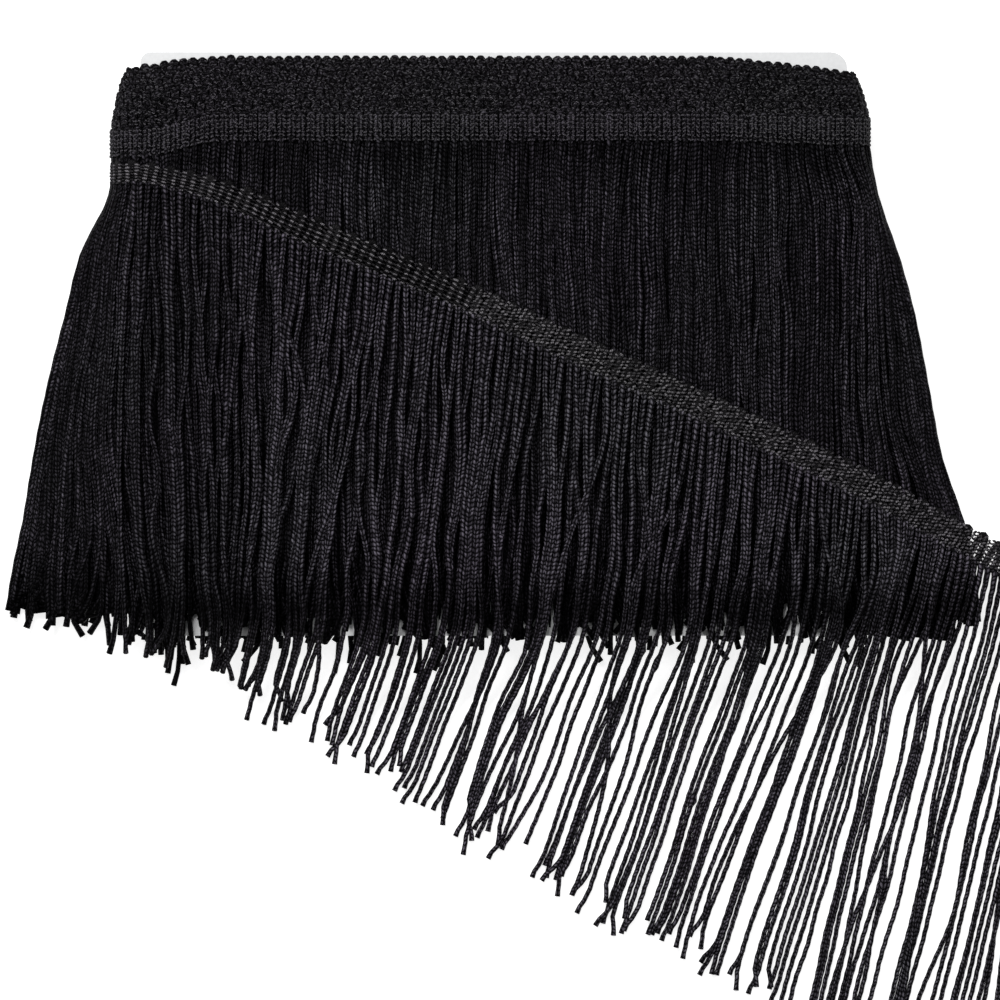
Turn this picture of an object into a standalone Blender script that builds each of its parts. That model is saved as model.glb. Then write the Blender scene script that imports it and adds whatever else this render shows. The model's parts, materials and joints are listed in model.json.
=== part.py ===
"""Black chainette fringe trim wound on a flat white card.

The trim is a narrow knitted heading with one limp chain-stitch strand hanging from
each column. Ten turns lie round the card, each one stepped a little below the last.
The outer end comes round the left edge, crosses the front and runs out on the table.

Metres, +Z up, +X along the card's width, +Y towards the headings. The winding lies on
its back with its lowest faces on Z = 0. The sizes below are given from the card's
centre, and the last step moves the whole model so that its box is centred on the origin.
"""
import math
import random
from typing import NamedTuple

import bmesh
import bpy
import numpy as np

# Card
CARD_WIDTH = 0.212
CARD_HEIGHT = 0.175
CARD_THICKNESS = 0.002
CARD_CORNERS = {"top_left": 0.003, "top_right": 0.005, "bottom_right": 0.003, "bottom_left": 0.003}
CARD_CORNER_STEPS = 5

# Wound turns
TURN_COUNT = 10
TURN_THICKNESS = 0.00085
TURN_STEP = 0.0019
HEADING_WIDTH = 0.0083
PIECE_GAP = 0.0003
TOP_TURN_Y = 0.0858
LEFT_SQUEEZE = 0.85
RIGHT_SQUEEZE = 0.70
LEFT_DROOP = 0.0024
LEFT_DROOP_RUN = 0.018
RIGHT_DROOP = 0.0045
RIGHT_DROOP_RUN = 0.045
OUTER_TURN_DROOP = 0.33
WRAP_BUNCHING = 2.1
SKIRT_CLEARANCE = 0.0008
HEADING_ARC_STEPS = 10
HEADING_STRAIGHT_STEPS = 10

# Heights of the stack that lies on the table
STACK_HEIGHT = TURN_COUNT * TURN_THICKNESS + PIECE_GAP
CARD_MID_Z = STACK_HEIGHT + CARD_THICKNESS / 2.0
HALF_WIDTH = CARD_WIDTH / 2.0
HALF_SLOT = CARD_THICKNESS / 2.0 + PIECE_GAP
SLOT_END_ROUND = 0.0009

# Wound fringe
SKIRT_TEETH = 26
POINTS_PER_TOOTH = 3
SKIRT_ARC_STEPS = 21
GROOVE_DEPTH = 0.0005
NOTCH_DEPTH = 0.011
TIP_SCATTER = 0.0025
TIP_Y = -0.0885
TIP_RISE_AT_SIDES = 0.009
BACK_TIP_SLANT = 0.016
FRONT_TIP_SLANT = 0.002

# Loose end
RIBBON_WIDTH = 0.0092
RIBBON_THICKNESS = 0.0012
RIBBON_STEPS = 48
RIBBON_WRAP_STEPS = 7
RIBBON_WRAP_START = math.radians(-40.0)
STRAND_THICKNESS = 0.0016
STRAND_LENGTH = 0.146
STRAND_SLANT = 0.27
SLANT_START_X = -0.0909
SLANT_FULL_X = 0.062
LEFT_FLARE = 0.012
LOOSE_TEETH = 38
LOOSE_SHEET_ROWS = 6
LOOSE_TOOTH_ROWS = 4
TOOTH_WIDTH = 0.46
TOOTH_ROOT_WIDTH = 0.72
TOOTH_SWAY = 0.0016
TOOTH_CROWN = 0.0005
SLOT_START_Y = -0.090
SHORTEST_SLOT_START = 0.12
LONGEST_SLOT_START = 0.90

# How the loose end drapes over the winding
DRAPE_HEIGHT = 0.0201
DRAPE_SIDE_SPREAD = 0.017
DRAPE_FALL_START_Y = -0.072
DRAPE_FALL_END_Y = -0.118

SEED = 7


class SkirtSection(NamedTuple):
    """One section across the wound fringe, from the card's centre, in metres."""

    y: float
    left_reach: float
    right_reach: float
    top: float
    edge: float
    bottom: float
    spread: float


TURN_RADIUS = HALF_SLOT + (TURN_COUNT - 1) * TURN_THICKNESS
SKIRT_SECTIONS = [
    SkirtSection(0.0600, TURN_RADIUS * LEFT_SQUEEZE, TURN_RADIUS * RIGHT_SQUEEZE,
                 CARD_MID_Z + TURN_RADIUS, CARD_MID_Z, CARD_MID_Z - TURN_RADIUS, 0.0),
    SkirtSection(0.0455, 0.0078, 0.0088, 0.0191, 0.0092, 0.0000, 0.0),
    SkirtSection(0.0280, 0.0172, 0.0145, 0.0195, 0.0075, 0.0000, 0.5),
    SkirtSection(0.0100, 0.0218, 0.0194, 0.0196, 0.0060, 0.0000, 1.0),
    SkirtSection(-0.0100, 0.0270, 0.0234, 0.0196, 0.0048, 0.0000, 1.0),
    SkirtSection(-0.0320, 0.0315, 0.0275, 0.0194, 0.0038, 0.0000, 1.0),
    SkirtSection(-0.0540, 0.0352, 0.0325, 0.0190, 0.0032, 0.0000, 1.0),
    SkirtSection(-0.0700, 0.0385, 0.0355, 0.0168, 0.0028, 0.0000, 1.0),
    SkirtSection(-0.0920, 0.0415, 0.0375, 0.0122, 0.0024, 0.0000, 1.0),
]


class RibbonPoint(NamedTuple):
    """A point that the middle of the loose heading passes over, from the card's centre."""

    x: float
    y: float


RIBBON_ROUTE = [
    RibbonPoint(-0.1060, 0.0508),
    RibbonPoint(-0.0909, 0.0477),
    RibbonPoint(-0.0525, 0.0321),
    RibbonPoint(-0.0144, 0.0162),
    RibbonPoint(0.0240, -0.0018),
    RibbonPoint(0.0624, -0.0192),
    RibbonPoint(0.1005, -0.0375),
    RibbonPoint(0.1389, -0.0576),
    RibbonPoint(0.1600, -0.0688),
    RibbonPoint(0.1940, -0.0866),
]


def clear_scene():
    """Remove every object that the file opened with."""
    for item in list(bpy.data.objects):
        bpy.data.objects.remove(item, do_unlink=True)


def make_material(name, colour, roughness):
    """Return a plain Principled material."""
    material = bpy.data.materials.new(name)
    material.use_nodes = True
    shader = material.node_tree.nodes["Principled BSDF"]
    shader.inputs["Base Color"].default_value = (*colour, 1.0)
    shader.inputs["Roughness"].default_value = roughness
    shader.inputs["Metallic"].default_value = 0.0
    return material


def add_mesh(name, vertices, faces, material, collection, parent):
    """Add a mesh object with outward faces to the collection, under the parent."""
    mesh = bpy.data.meshes.new(name)
    mesh.from_pydata([tuple(point) for point in vertices], [], [tuple(face) for face in faces])
    mesh.update()
    item = bpy.data.objects.new(name, mesh)
    item.data.materials.append(material)
    item.parent = parent
    collection.objects.link(item)
    return item


def face_outwards(item):
    """Turn every face of a closed mesh outwards."""
    working = bmesh.new()
    working.from_mesh(item.data)
    bmesh.ops.recalc_face_normals(working, faces=working.faces)
    if working.calc_volume(signed=True) < 0.0:
        bmesh.ops.reverse_faces(working, faces=working.faces)
    working.to_mesh(item.data)
    working.free()


def add_solidify(item, thickness):
    """Thicken an open sheet on the side that its faces point to."""
    modifier = item.modifiers.new("Thickness", "SOLIDIFY")
    modifier.thickness = thickness
    modifier.offset = 1.0
    modifier.use_rim = True
    return modifier


def smooth_through(knots, values, at):
    """Return a smooth curve through the values at the knots, read at the given places."""
    knots = np.asarray(knots, dtype=float)
    values = np.asarray(values, dtype=float)
    if knots[0] > knots[-1]:
        knots = knots[::-1]
        values = values[::-1]
    slopes = np.gradient(values, knots)
    at = np.clip(at, knots[0], knots[-1])
    index = np.clip(np.searchsorted(knots, at) - 1, 0, len(knots) - 2)
    span = knots[index + 1] - knots[index]
    t = (at - knots[index]) / span
    start = values[index] * (2.0 * t**3 - 3.0 * t**2 + 1.0)
    start_slope = slopes[index] * span * (t**3 - 2.0 * t**2 + t)
    end = values[index + 1] * (3.0 * t**2 - 2.0 * t**3)
    end_slope = slopes[index + 1] * span * (t**3 - t**2)
    return start + start_slope + end + end_slope


def smoothstep(value):
    """Return 0 below 0, 1 above 1 and an S curve between."""
    t = np.clip(value, 0.0, 1.0)
    return t * t * (3.0 - 2.0 * t)


def ring_layout(straight_steps, arc_steps):
    """Return the walk round the card: front left to right, right edge, back, left edge.

    Each point has a place across the width from -1 to 1, an angle from 90 degrees on
    the front to -90 degrees on the back, and a side of -1, 0 or 1.
    """
    front = np.linspace(-1.0, 1.0, straight_steps + 1)
    edge_angles = np.linspace(math.pi / 2.0, -math.pi / 2.0, arc_steps + 1)[1:-1]
    across = np.concatenate([front, np.ones(len(edge_angles)), front[::-1], -np.ones(len(edge_angles))])
    angle = np.concatenate([
        np.full(len(front), math.pi / 2.0),
        edge_angles,
        np.full(len(front), -math.pi / 2.0),
        edge_angles[::-1],
    ])
    side = np.concatenate([
        np.zeros(len(front)),
        np.ones(len(edge_angles)),
        np.zeros(len(front)),
        -np.ones(len(edge_angles)),
    ])
    return across, angle, side


def ring_points(layout, y, left_reach, right_reach, top, edge, bottom, spread, half_width=HALF_WIDTH):
    """Return one ring round the card at the given Y.

    The edges are quarter ellipses between the top, edge and bottom heights. As spread
    goes from 0 to 1 the front of each edge turns into a long S-shaped slope.
    """
    across, angle, side = layout
    reach = np.where(side < 0.0, left_reach, right_reach) * np.abs(side)
    out = np.cos(angle) * np.abs(side)
    x = across * half_width + side * reach * out
    rise = np.sin(angle)
    slope = np.cos(0.5 * math.pi * out) ** 2
    front_share = (1.0 - spread) * np.maximum(rise, 0.0) + spread * np.where(rise > 0.0, slope, 0.0)
    z = edge + (top - edge) * front_share - (edge - bottom) * np.maximum(-rise, 0.0)
    return np.stack([x, np.broadcast_to(y, x.shape), z], axis=1)


def heading_top(across, turn):
    """Return the Y of the upper edge of one turn, which droops towards both edges.

    It is worked out where the heading's sections stand and runs straight between them,
    so that the fringe below it follows the same line.
    """
    stands = np.linspace(-1.0, 1.0, HEADING_STRAIGHT_STEPS + 1)
    x = stands * HALF_WIDTH
    left = LEFT_DROOP * smoothstep((-x - HALF_WIDTH + LEFT_DROOP_RUN) / LEFT_DROOP_RUN)
    right = RIGHT_DROOP * smoothstep((x - HALF_WIDTH + RIGHT_DROOP_RUN) / RIGHT_DROOP_RUN)
    share = turn / (TURN_COUNT - 1.0)
    bunching = 1.0 + (WRAP_BUNCHING - 1.0) * np.abs(stands) ** 6
    droop = (left + right) * (1.0 - (1.0 - OUTER_TURN_DROOP) * share)
    top = TOP_TURN_Y - (TURN_COUNT - 1.0) * TURN_STEP * share**bunching - droop
    return np.interp(across, stands, top)


def loft_torus(rings):
    """Return vertices and quads of closed rings joined one to the next, the last to the first."""
    rings = np.asarray(rings)
    count, points = rings.shape[:2]
    grid = np.arange(count * points).reshape(count, points)
    next_ring = np.roll(grid, -1, axis=0)
    faces = np.stack([grid, np.roll(grid, -1, axis=1), np.roll(next_ring, -1, axis=1), next_ring], axis=2)
    return rings.reshape(-1, 3), faces.reshape(-1, 4)


def card_outline():
    """Return the outline of the card, anticlockwise, with its worn round corners."""
    half_height = CARD_HEIGHT / 2.0
    corners = [
        ("bottom_right", 1.0, -1.0, -90.0),
        ("top_right", 1.0, 1.0, 0.0),
        ("top_left", -1.0, 1.0, 90.0),
        ("bottom_left", -1.0, -1.0, 180.0),
    ]
    points = []
    for name, x_sign, y_sign, first_angle in corners:
        radius = CARD_CORNERS[name]
        centre_x = x_sign * (HALF_WIDTH - radius)
        centre_y = y_sign * (half_height - radius)
        for step in range(CARD_CORNER_STEPS + 1):
            angle = math.radians(first_angle + 90.0 * step / CARD_CORNER_STEPS)
            points.append((centre_x + radius * math.cos(angle), centre_y + radius * math.sin(angle)))
    return points


def build_card(material, collection, parent):
    """Add the stiff card that the trim is wound on."""
    curve = bpy.data.curves.new("card", "CURVE")
    curve.dimensions = "2D"
    curve.fill_mode = "BOTH"
    curve.extrude = CARD_THICKNESS / 2.0
    outline = card_outline()
    spline = curve.splines.new("POLY")
    spline.points.add(len(outline) - 1)
    for point, (x, y) in zip(spline.points, outline):
        point.co = (x, y, 0.0, 1.0)
    spline.use_cyclic_u = True
    item = bpy.data.objects.new("card", curve)
    item.location = (0.0, 0.0, CARD_MID_Z)
    item.data.materials.append(material)
    item.parent = parent
    collection.objects.link(item)
    return item


def build_wound_heading(material, collection, parent):
    """Add the ten stepped turns of the heading as one ring round the card.

    Its section is a staircase outside, one tread for each turn, and a slope inside.
    """
    layout = ring_layout(HEADING_STRAIGHT_STEPS, HEADING_ARC_STEPS)
    across = layout[0]
    corners = []
    for turn in range(TURN_COUNT):
        corners.append((turn * TURN_THICKNESS, turn, 0.0))
        corners.append(((turn + 1) * TURN_THICKNESS, turn, 0.0))
    last = TURN_COUNT - 1
    corners.append((TURN_COUNT * TURN_THICKNESS, last, HEADING_WIDTH))
    corners.append((last * TURN_THICKNESS, last, HEADING_WIDTH))
    corners.append((0.0, 0, HEADING_WIDTH))
    rings = []
    for height, turn, drop in corners:
        radius = HALF_SLOT + height
        rings.append(ring_points(
            layout, heading_top(across, turn) - drop, radius * LEFT_SQUEEZE, radius * RIGHT_SQUEEZE,
            CARD_MID_Z + radius, CARD_MID_Z, CARD_MID_Z - radius, 0.0))
    vertices, faces = loft_torus(rings)
    item = add_mesh("wound_heading", vertices, faces, material, collection, parent)
    face_outwards(item)
    return item


def skirt_sizes(y):
    """Return the sizes of the wound fringe's section at the given Y."""
    knots = [row.y for row in SKIRT_SECTIONS]
    sizes = []
    for field in SkirtSection._fields[1:]:
        sizes.append(smooth_through(knots, [getattr(row, field) for row in SKIRT_SECTIONS], y))
    return sizes


def skirt_tips(layout, chance):
    """Return the Y of each point of the ragged lower edge, tooth by tooth."""
    across, angle, side = layout
    count = len(across)
    at_side = np.clip(np.abs(across) * 0.8 + 0.2 * np.cos(angle), 0.0, 1.0) ** 4
    base = TIP_Y + TIP_RISE_AT_SIDES * at_side
    scatter = np.array([chance.uniform(-TIP_SCATTER, TIP_SCATTER) for _ in range(count)])
    notch = np.where(np.arange(count) % POINTS_PER_TOOTH == 0, NOTCH_DEPTH, 0.0)
    return base + scatter + notch


def grooved(layout, ring):
    """Sink a shallow groove between the strand groups on the front of one ring."""
    between = np.arange(len(ring)) % POINTS_PER_TOOTH == 0
    ring[:, 2] -= GROOVE_DEPTH * (between & (layout[1] > 0.0))
    return ring


def build_wound_fringe(material, collection, parent):
    """Add the fringe of all the turns as one sleeve round the card, cut as a comb below.

    It spreads past both edges of the card, lies flat on the table behind and thins
    towards its tips in front. The card passes through its slot.
    """
    layout = ring_layout(SKIRT_TEETH * POINTS_PER_TOOTH, SKIRT_ARC_STEPS)
    across, angle, _ = layout
    shoulder = heading_top(across, TURN_COUNT - 1) - HEADING_WIDTH - SKIRT_CLEARANCE
    throat = heading_top(across, 0) - HEADING_WIDTH - SKIRT_CLEARANCE
    first = SKIRT_SECTIONS[0]
    rings = [ring_points(layout, shoulder, *first[1:])]
    for row in SKIRT_SECTIONS[1:-1]:
        rings.append(grooved(layout, ring_points(layout, row.y, *row[1:])))
    tips = skirt_tips(layout, random.Random(SEED))
    rings.append(grooved(layout, ring_points(layout, tips, *skirt_sizes(tips))))
    slant = np.where(angle > 0.0, FRONT_TIP_SLANT, BACK_TIP_SLANT)
    slot = (SLOT_END_ROUND, SLOT_END_ROUND, CARD_MID_Z + HALF_SLOT, CARD_MID_Z, CARD_MID_Z - HALF_SLOT, 0.0)
    slot_half_width = HALF_WIDTH + PIECE_GAP
    rings.append(ring_points(layout, tips + slant, *slot, half_width=slot_half_width))
    rings.append(ring_points(layout, throat, *slot, half_width=slot_half_width))
    vertices, faces = loft_torus(rings)
    item = add_mesh("wound_fringe", vertices, faces, material, collection, parent)
    face_outwards(item)
    return item


def drape_height(x, y):
    """Return the height of the underside of the loose end where it lies over the winding."""
    sizes = skirt_sizes(y)
    reach = np.where(x < 0.0, sizes[0], sizes[1]) + DRAPE_SIDE_SPREAD
    beyond = np.clip((np.abs(x) - HALF_WIDTH) / reach, 0.0, 1.0)
    below = np.clip((DRAPE_FALL_START_Y - y) / (DRAPE_FALL_START_Y - DRAPE_FALL_END_Y), 0.0, 1.0)
    return DRAPE_HEIGHT * np.cos(0.5 * math.pi * beyond) ** 2 * np.cos(0.5 * math.pi * below) ** 2


def ribbon_route(share):
    """Return the middle of the loose heading in plan, and its direction, at shares of its length."""
    points = np.array(RIBBON_ROUTE)
    lengths = np.concatenate([[0.0], np.cumsum(np.hypot(*np.diff(points, axis=0).T))])
    at = np.asarray(share) * lengths[-1]
    x = smooth_through(lengths, points[:, 0], at)
    y = smooth_through(lengths, points[:, 1], at)
    ahead_x = smooth_through(lengths, points[:, 0], at + TURN_STEP)
    ahead_y = smooth_through(lengths, points[:, 1], at + TURN_STEP)
    behind_x = smooth_through(lengths, points[:, 0], at - TURN_STEP)
    behind_y = smooth_through(lengths, points[:, 1], at - TURN_STEP)
    direction = np.stack([ahead_x - behind_x, ahead_y - behind_y], axis=-1)
    direction /= np.linalg.norm(direction, axis=-1, keepdims=True)
    return x, y, direction


def build_loose_heading(material, collection, parent):
    """Add the loose heading: round the left edge, across the front and down to the table."""
    start = RIBBON_ROUTE[0]
    radius_x = (HALF_SLOT + TURN_COUNT * TURN_THICKNESS + PIECE_GAP) * LEFT_SQUEEZE
    radius_z = DRAPE_HEIGHT - CARD_MID_Z
    angles = np.linspace(RIBBON_WRAP_START, math.pi / 2.0, RIBBON_WRAP_STEPS + 1)[:-1]
    wrap = np.stack([
        -HALF_WIDTH - radius_x * np.cos(angles),
        np.full(len(angles), start.y),
        CARD_MID_Z + radius_z * np.sin(angles),
    ], axis=1)
    wrap_side = np.broadcast_to([0.0, 1.0, 0.0], wrap.shape)
    x, y, direction = ribbon_route(np.linspace(0.0, 1.0, RIBBON_STEPS + 1))
    side = np.stack([-direction[:, 1], direction[:, 0], np.zeros(len(x))], axis=1)
    middle = np.stack([x, y, np.zeros(len(x))], axis=1)
    columns = []
    for offset in (-0.5, 0.0, 0.5):
        wrapped = wrap + wrap_side * offset * RIBBON_WIDTH
        laid = middle + side * offset * RIBBON_WIDTH
        laid[:, 2] = drape_height(laid[:, 0], laid[:, 1])
        columns.append(np.concatenate([wrapped, laid]))
    grid = np.stack(columns, axis=1)
    rows, width = grid.shape[:2]
    index = np.arange(rows * width).reshape(rows, width)
    faces = np.stack([index[:-1, :-1], index[1:, :-1], index[1:, 1:], index[:-1, 1:]], axis=2)
    item = add_mesh("loose_heading", grid.reshape(-1, 3), faces.reshape(-1, 4), material, collection, parent)
    add_solidify(item, RIBBON_THICKNESS)
    return item


def strand_point(share, along):
    """Return points of the loose fringe, at shares of the heading and of the strand's length."""
    x, y, direction = ribbon_route(share)
    edge = RIBBON_WIDTH / 2.0 + PIECE_GAP
    root_x = x + direction[..., 1] * edge
    root_y = y - direction[..., 0] * edge
    turn = np.clip((root_x - SLANT_START_X) / (SLANT_FULL_X - SLANT_START_X), 0.0, 1.0)
    slant = STRAND_SLANT * np.sin(0.5 * math.pi * turn) * STRAND_LENGTH
    flare = LEFT_FLARE * (1.0 - smoothstep((root_x + HALF_WIDTH) / (SLANT_START_X + HALF_WIDTH)))
    point_x = root_x - (slant + flare) * along**1.5
    point_y = root_y - STRAND_LENGTH * along * np.cos(STRAND_SLANT * turn)
    return np.stack([point_x, point_y, drape_height(point_x, point_y)], axis=-1)


def build_loose_fringe(material, collection, parent):
    """Add the fringe of the loose end as one draped comb, its teeth free below the winding."""
    chance = random.Random(SEED + 1)
    columns = 2 * LOOSE_TEETH + 1
    share = np.linspace(0.0, 1.0, columns)
    root_y = strand_point(share, np.zeros(columns))[:, 1]
    slot_start = np.clip((root_y - SLOT_START_Y) / STRAND_LENGTH, SHORTEST_SLOT_START, LONGEST_SLOT_START)
    row_share = np.linspace(0.0, 1.0, LOOSE_SHEET_ROWS + 1)[:, None]
    sheet = strand_point(np.broadcast_to(share, (len(row_share), columns)), row_share * slot_start)
    sheet[1:, 1::2, 2] += TOOTH_CROWN
    sheet_index = np.arange(sheet.shape[0] * columns).reshape(sheet.shape[0], columns)

    centre = share[1::2]
    half_pitch = share[1]
    tip = np.array([1.0 + chance.uniform(-0.05, 0.03) for _ in centre])
    sway = np.array([chance.uniform(-TOOTH_SWAY, TOOTH_SWAY) for _ in centre])
    tooth_start = slot_start[1::2]
    rows = []
    for row in range(1, LOOSE_TOOTH_ROWS + 1):
        part = row / LOOSE_TOOTH_ROWS
        width = TOOTH_ROOT_WIDTH + (TOOTH_WIDTH - TOOTH_ROOT_WIDTH) * smoothstep(part * 2.0)
        along = tooth_start + (tip - tooth_start) * part
        tooth = []
        for offset in (-1.0, 0.0, 1.0):
            points = strand_point(centre, along)
            neighbour = strand_point(centre + half_pitch, along)
            points[:, :2] += (neighbour - points)[:, :2] * offset * width
            points[:, 0] += sway * part
            points[:, 2] = drape_height(points[:, 0], points[:, 1]) + TOOTH_CROWN * (offset == 0.0)
            tooth.append(points)
        rows.append(np.stack(tooth, axis=1))
    teeth = np.stack(rows)
    first = sheet_index.size
    tooth_index = first + np.arange(teeth[..., 0].size).reshape(teeth.shape[:3])
    root = np.stack([sheet_index[-1, 0:-1:2], sheet_index[-1, 1::2], sheet_index[-1, 2::2]], axis=1)
    tooth_index = np.concatenate([root[None], tooth_index])

    sheet_faces = np.stack([
        sheet_index[:-1, :-1], sheet_index[1:, :-1], sheet_index[1:, 1:], sheet_index[:-1, 1:]], axis=2)
    tooth_faces = np.stack([
        tooth_index[:-1, :, :-1], tooth_index[1:, :, :-1], tooth_index[1:, :, 1:], tooth_index[:-1, :, 1:]],
        axis=3)
    vertices = np.concatenate([sheet.reshape(-1, 3), teeth.reshape(-1, 3)])
    faces = np.concatenate([sheet_faces.reshape(-1, 4), tooth_faces.reshape(-1, 4)])
    item = add_mesh("loose_fringe", vertices, faces, material, collection, parent)
    add_solidify(item, STRAND_THICKNESS)
    return item


def centre_on_origin(parts, root):
    """Move the root so that the model's box is centred on the origin and stands on Z = 0."""
    bpy.context.view_layer.update()
    graph = bpy.context.evaluated_depsgraph_get()
    corners = []
    for item in parts:
        placed = item.evaluated_get(graph)
        corners.extend(item.matrix_world @ vertex.co for vertex in placed.to_mesh().vertices)
        placed.to_mesh_clear()
    corners = np.array(corners)
    middle = (corners.min(axis=0) + corners.max(axis=0)) / 2.0
    root.location = (-middle[0], -middle[1], -corners[:, 2].min())


def main():
    """Build the whole trim on its card."""
    clear_scene()
    collection = bpy.data.collections.new("chainette_fringe_on_card")
    bpy.context.scene.collection.children.link(collection)
    root = bpy.data.objects.new("trim_on_card_origin", None)
    collection.objects.link(root)
    board = make_material("white_board", (0.80, 0.80, 0.79), 0.75)
    heading = make_material("black_heading_yarn", (0.016, 0.014, 0.019), 0.62)
    strands = make_material("black_chainette", (0.011, 0.010, 0.014), 0.66)
    loose_heading = make_material("black_loose_heading_yarn", (0.022, 0.020, 0.025), 0.60)
    loose_strands = make_material("black_loose_chainette", (0.013, 0.012, 0.016), 0.66)
    parts = [
        build_card(board, collection, root),
        build_wound_heading(heading, collection, root),
        build_wound_fringe(strands, collection, root),
        build_loose_heading(loose_heading, collection, root),
        build_loose_fringe(loose_strands, collection, root),
    ]
    centre_on_origin(parts, root)


main()
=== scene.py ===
"""Dresses a black chainette fringe trim, wound on a white card with one loose end.

The headings are knitted of single cords and chain links, the fringe is of single chain-stitch
strands, and the card keeps its own solid. Lengths are metres in the loaded model's frame.
"""

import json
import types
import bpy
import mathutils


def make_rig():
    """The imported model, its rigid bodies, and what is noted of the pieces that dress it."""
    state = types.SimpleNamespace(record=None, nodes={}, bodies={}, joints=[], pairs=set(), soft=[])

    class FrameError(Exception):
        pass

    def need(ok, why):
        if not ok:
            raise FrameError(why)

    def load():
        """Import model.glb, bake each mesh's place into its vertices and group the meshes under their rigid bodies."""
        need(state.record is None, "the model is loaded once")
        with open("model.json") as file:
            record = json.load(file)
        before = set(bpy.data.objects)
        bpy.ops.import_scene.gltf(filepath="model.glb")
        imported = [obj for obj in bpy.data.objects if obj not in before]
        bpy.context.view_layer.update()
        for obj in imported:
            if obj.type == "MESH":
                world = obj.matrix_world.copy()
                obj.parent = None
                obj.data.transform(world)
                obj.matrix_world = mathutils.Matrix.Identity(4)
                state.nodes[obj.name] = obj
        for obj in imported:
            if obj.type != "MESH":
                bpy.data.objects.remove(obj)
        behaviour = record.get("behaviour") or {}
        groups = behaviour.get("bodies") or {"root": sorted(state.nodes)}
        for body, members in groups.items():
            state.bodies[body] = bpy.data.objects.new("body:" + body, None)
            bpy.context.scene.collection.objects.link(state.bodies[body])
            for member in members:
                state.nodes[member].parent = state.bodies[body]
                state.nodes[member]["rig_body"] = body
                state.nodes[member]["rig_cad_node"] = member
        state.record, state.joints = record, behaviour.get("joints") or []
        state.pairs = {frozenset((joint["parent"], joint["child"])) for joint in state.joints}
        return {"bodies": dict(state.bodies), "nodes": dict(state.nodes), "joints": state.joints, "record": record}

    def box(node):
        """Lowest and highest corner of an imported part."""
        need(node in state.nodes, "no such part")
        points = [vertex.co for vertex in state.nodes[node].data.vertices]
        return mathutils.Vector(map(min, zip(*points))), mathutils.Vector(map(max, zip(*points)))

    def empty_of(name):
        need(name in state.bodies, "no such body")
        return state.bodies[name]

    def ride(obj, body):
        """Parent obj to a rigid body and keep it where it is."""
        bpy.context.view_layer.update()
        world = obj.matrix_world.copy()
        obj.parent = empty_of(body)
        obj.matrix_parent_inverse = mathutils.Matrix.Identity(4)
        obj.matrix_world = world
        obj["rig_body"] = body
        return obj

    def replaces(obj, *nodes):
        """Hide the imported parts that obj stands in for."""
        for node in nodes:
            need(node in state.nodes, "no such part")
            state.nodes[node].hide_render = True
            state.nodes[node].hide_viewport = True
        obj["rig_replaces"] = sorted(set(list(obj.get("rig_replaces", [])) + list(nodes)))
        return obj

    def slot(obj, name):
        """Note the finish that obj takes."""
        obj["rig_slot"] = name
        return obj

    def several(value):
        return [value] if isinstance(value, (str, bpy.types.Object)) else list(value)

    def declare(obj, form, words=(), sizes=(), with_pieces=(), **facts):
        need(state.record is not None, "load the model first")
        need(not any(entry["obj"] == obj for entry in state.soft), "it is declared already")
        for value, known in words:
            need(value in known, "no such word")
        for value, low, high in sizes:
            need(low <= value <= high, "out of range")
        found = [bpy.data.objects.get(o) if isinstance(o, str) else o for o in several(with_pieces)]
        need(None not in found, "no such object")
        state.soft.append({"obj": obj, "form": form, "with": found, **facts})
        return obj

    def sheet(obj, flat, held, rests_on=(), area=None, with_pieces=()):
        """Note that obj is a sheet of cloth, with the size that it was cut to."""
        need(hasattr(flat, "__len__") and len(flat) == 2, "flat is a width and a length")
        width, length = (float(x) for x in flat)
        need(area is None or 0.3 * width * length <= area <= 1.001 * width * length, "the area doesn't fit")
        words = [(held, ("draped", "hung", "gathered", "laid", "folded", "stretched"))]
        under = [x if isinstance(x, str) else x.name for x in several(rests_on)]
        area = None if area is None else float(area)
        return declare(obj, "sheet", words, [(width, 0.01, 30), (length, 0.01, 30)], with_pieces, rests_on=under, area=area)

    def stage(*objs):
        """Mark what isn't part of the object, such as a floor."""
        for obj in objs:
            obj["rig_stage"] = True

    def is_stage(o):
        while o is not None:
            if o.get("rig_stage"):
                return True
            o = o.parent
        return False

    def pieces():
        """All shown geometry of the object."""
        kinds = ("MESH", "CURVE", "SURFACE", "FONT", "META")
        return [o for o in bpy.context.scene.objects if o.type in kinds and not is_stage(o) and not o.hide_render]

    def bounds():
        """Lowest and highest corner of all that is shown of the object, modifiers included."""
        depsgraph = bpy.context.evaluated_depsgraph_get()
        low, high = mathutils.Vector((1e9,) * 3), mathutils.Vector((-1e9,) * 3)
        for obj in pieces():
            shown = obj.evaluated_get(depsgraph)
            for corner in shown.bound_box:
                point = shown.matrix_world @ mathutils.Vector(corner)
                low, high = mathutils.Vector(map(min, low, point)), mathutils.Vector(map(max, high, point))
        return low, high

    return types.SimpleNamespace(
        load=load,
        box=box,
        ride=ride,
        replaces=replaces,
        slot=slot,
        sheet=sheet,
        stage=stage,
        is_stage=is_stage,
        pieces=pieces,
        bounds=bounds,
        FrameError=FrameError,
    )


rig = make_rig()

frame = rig.load()
MODEL_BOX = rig.bounds()

import json
import logging
import math
from dataclasses import dataclass, replace
from enum import Enum
from typing import Callable, NamedTuple

import bpy
import numpy as np
from bpy.types import Material, NodeSocket
from mathutils import Vector

log = logging.getLogger("fringe")
MM = 0.001
TURN, QUARTER = 2 * math.pi, 0.5 * math.pi
UP = np.array([0.0, 0.0, 1.0])
LEAST_HEIGHT = 0.02 * MM
VIEW_X, VIEW_Y = 1.8 * MM, -46.8 * MM
Array = np.ndarray
Triple = tuple[float, float, float]


# ---- shape helpers


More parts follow.
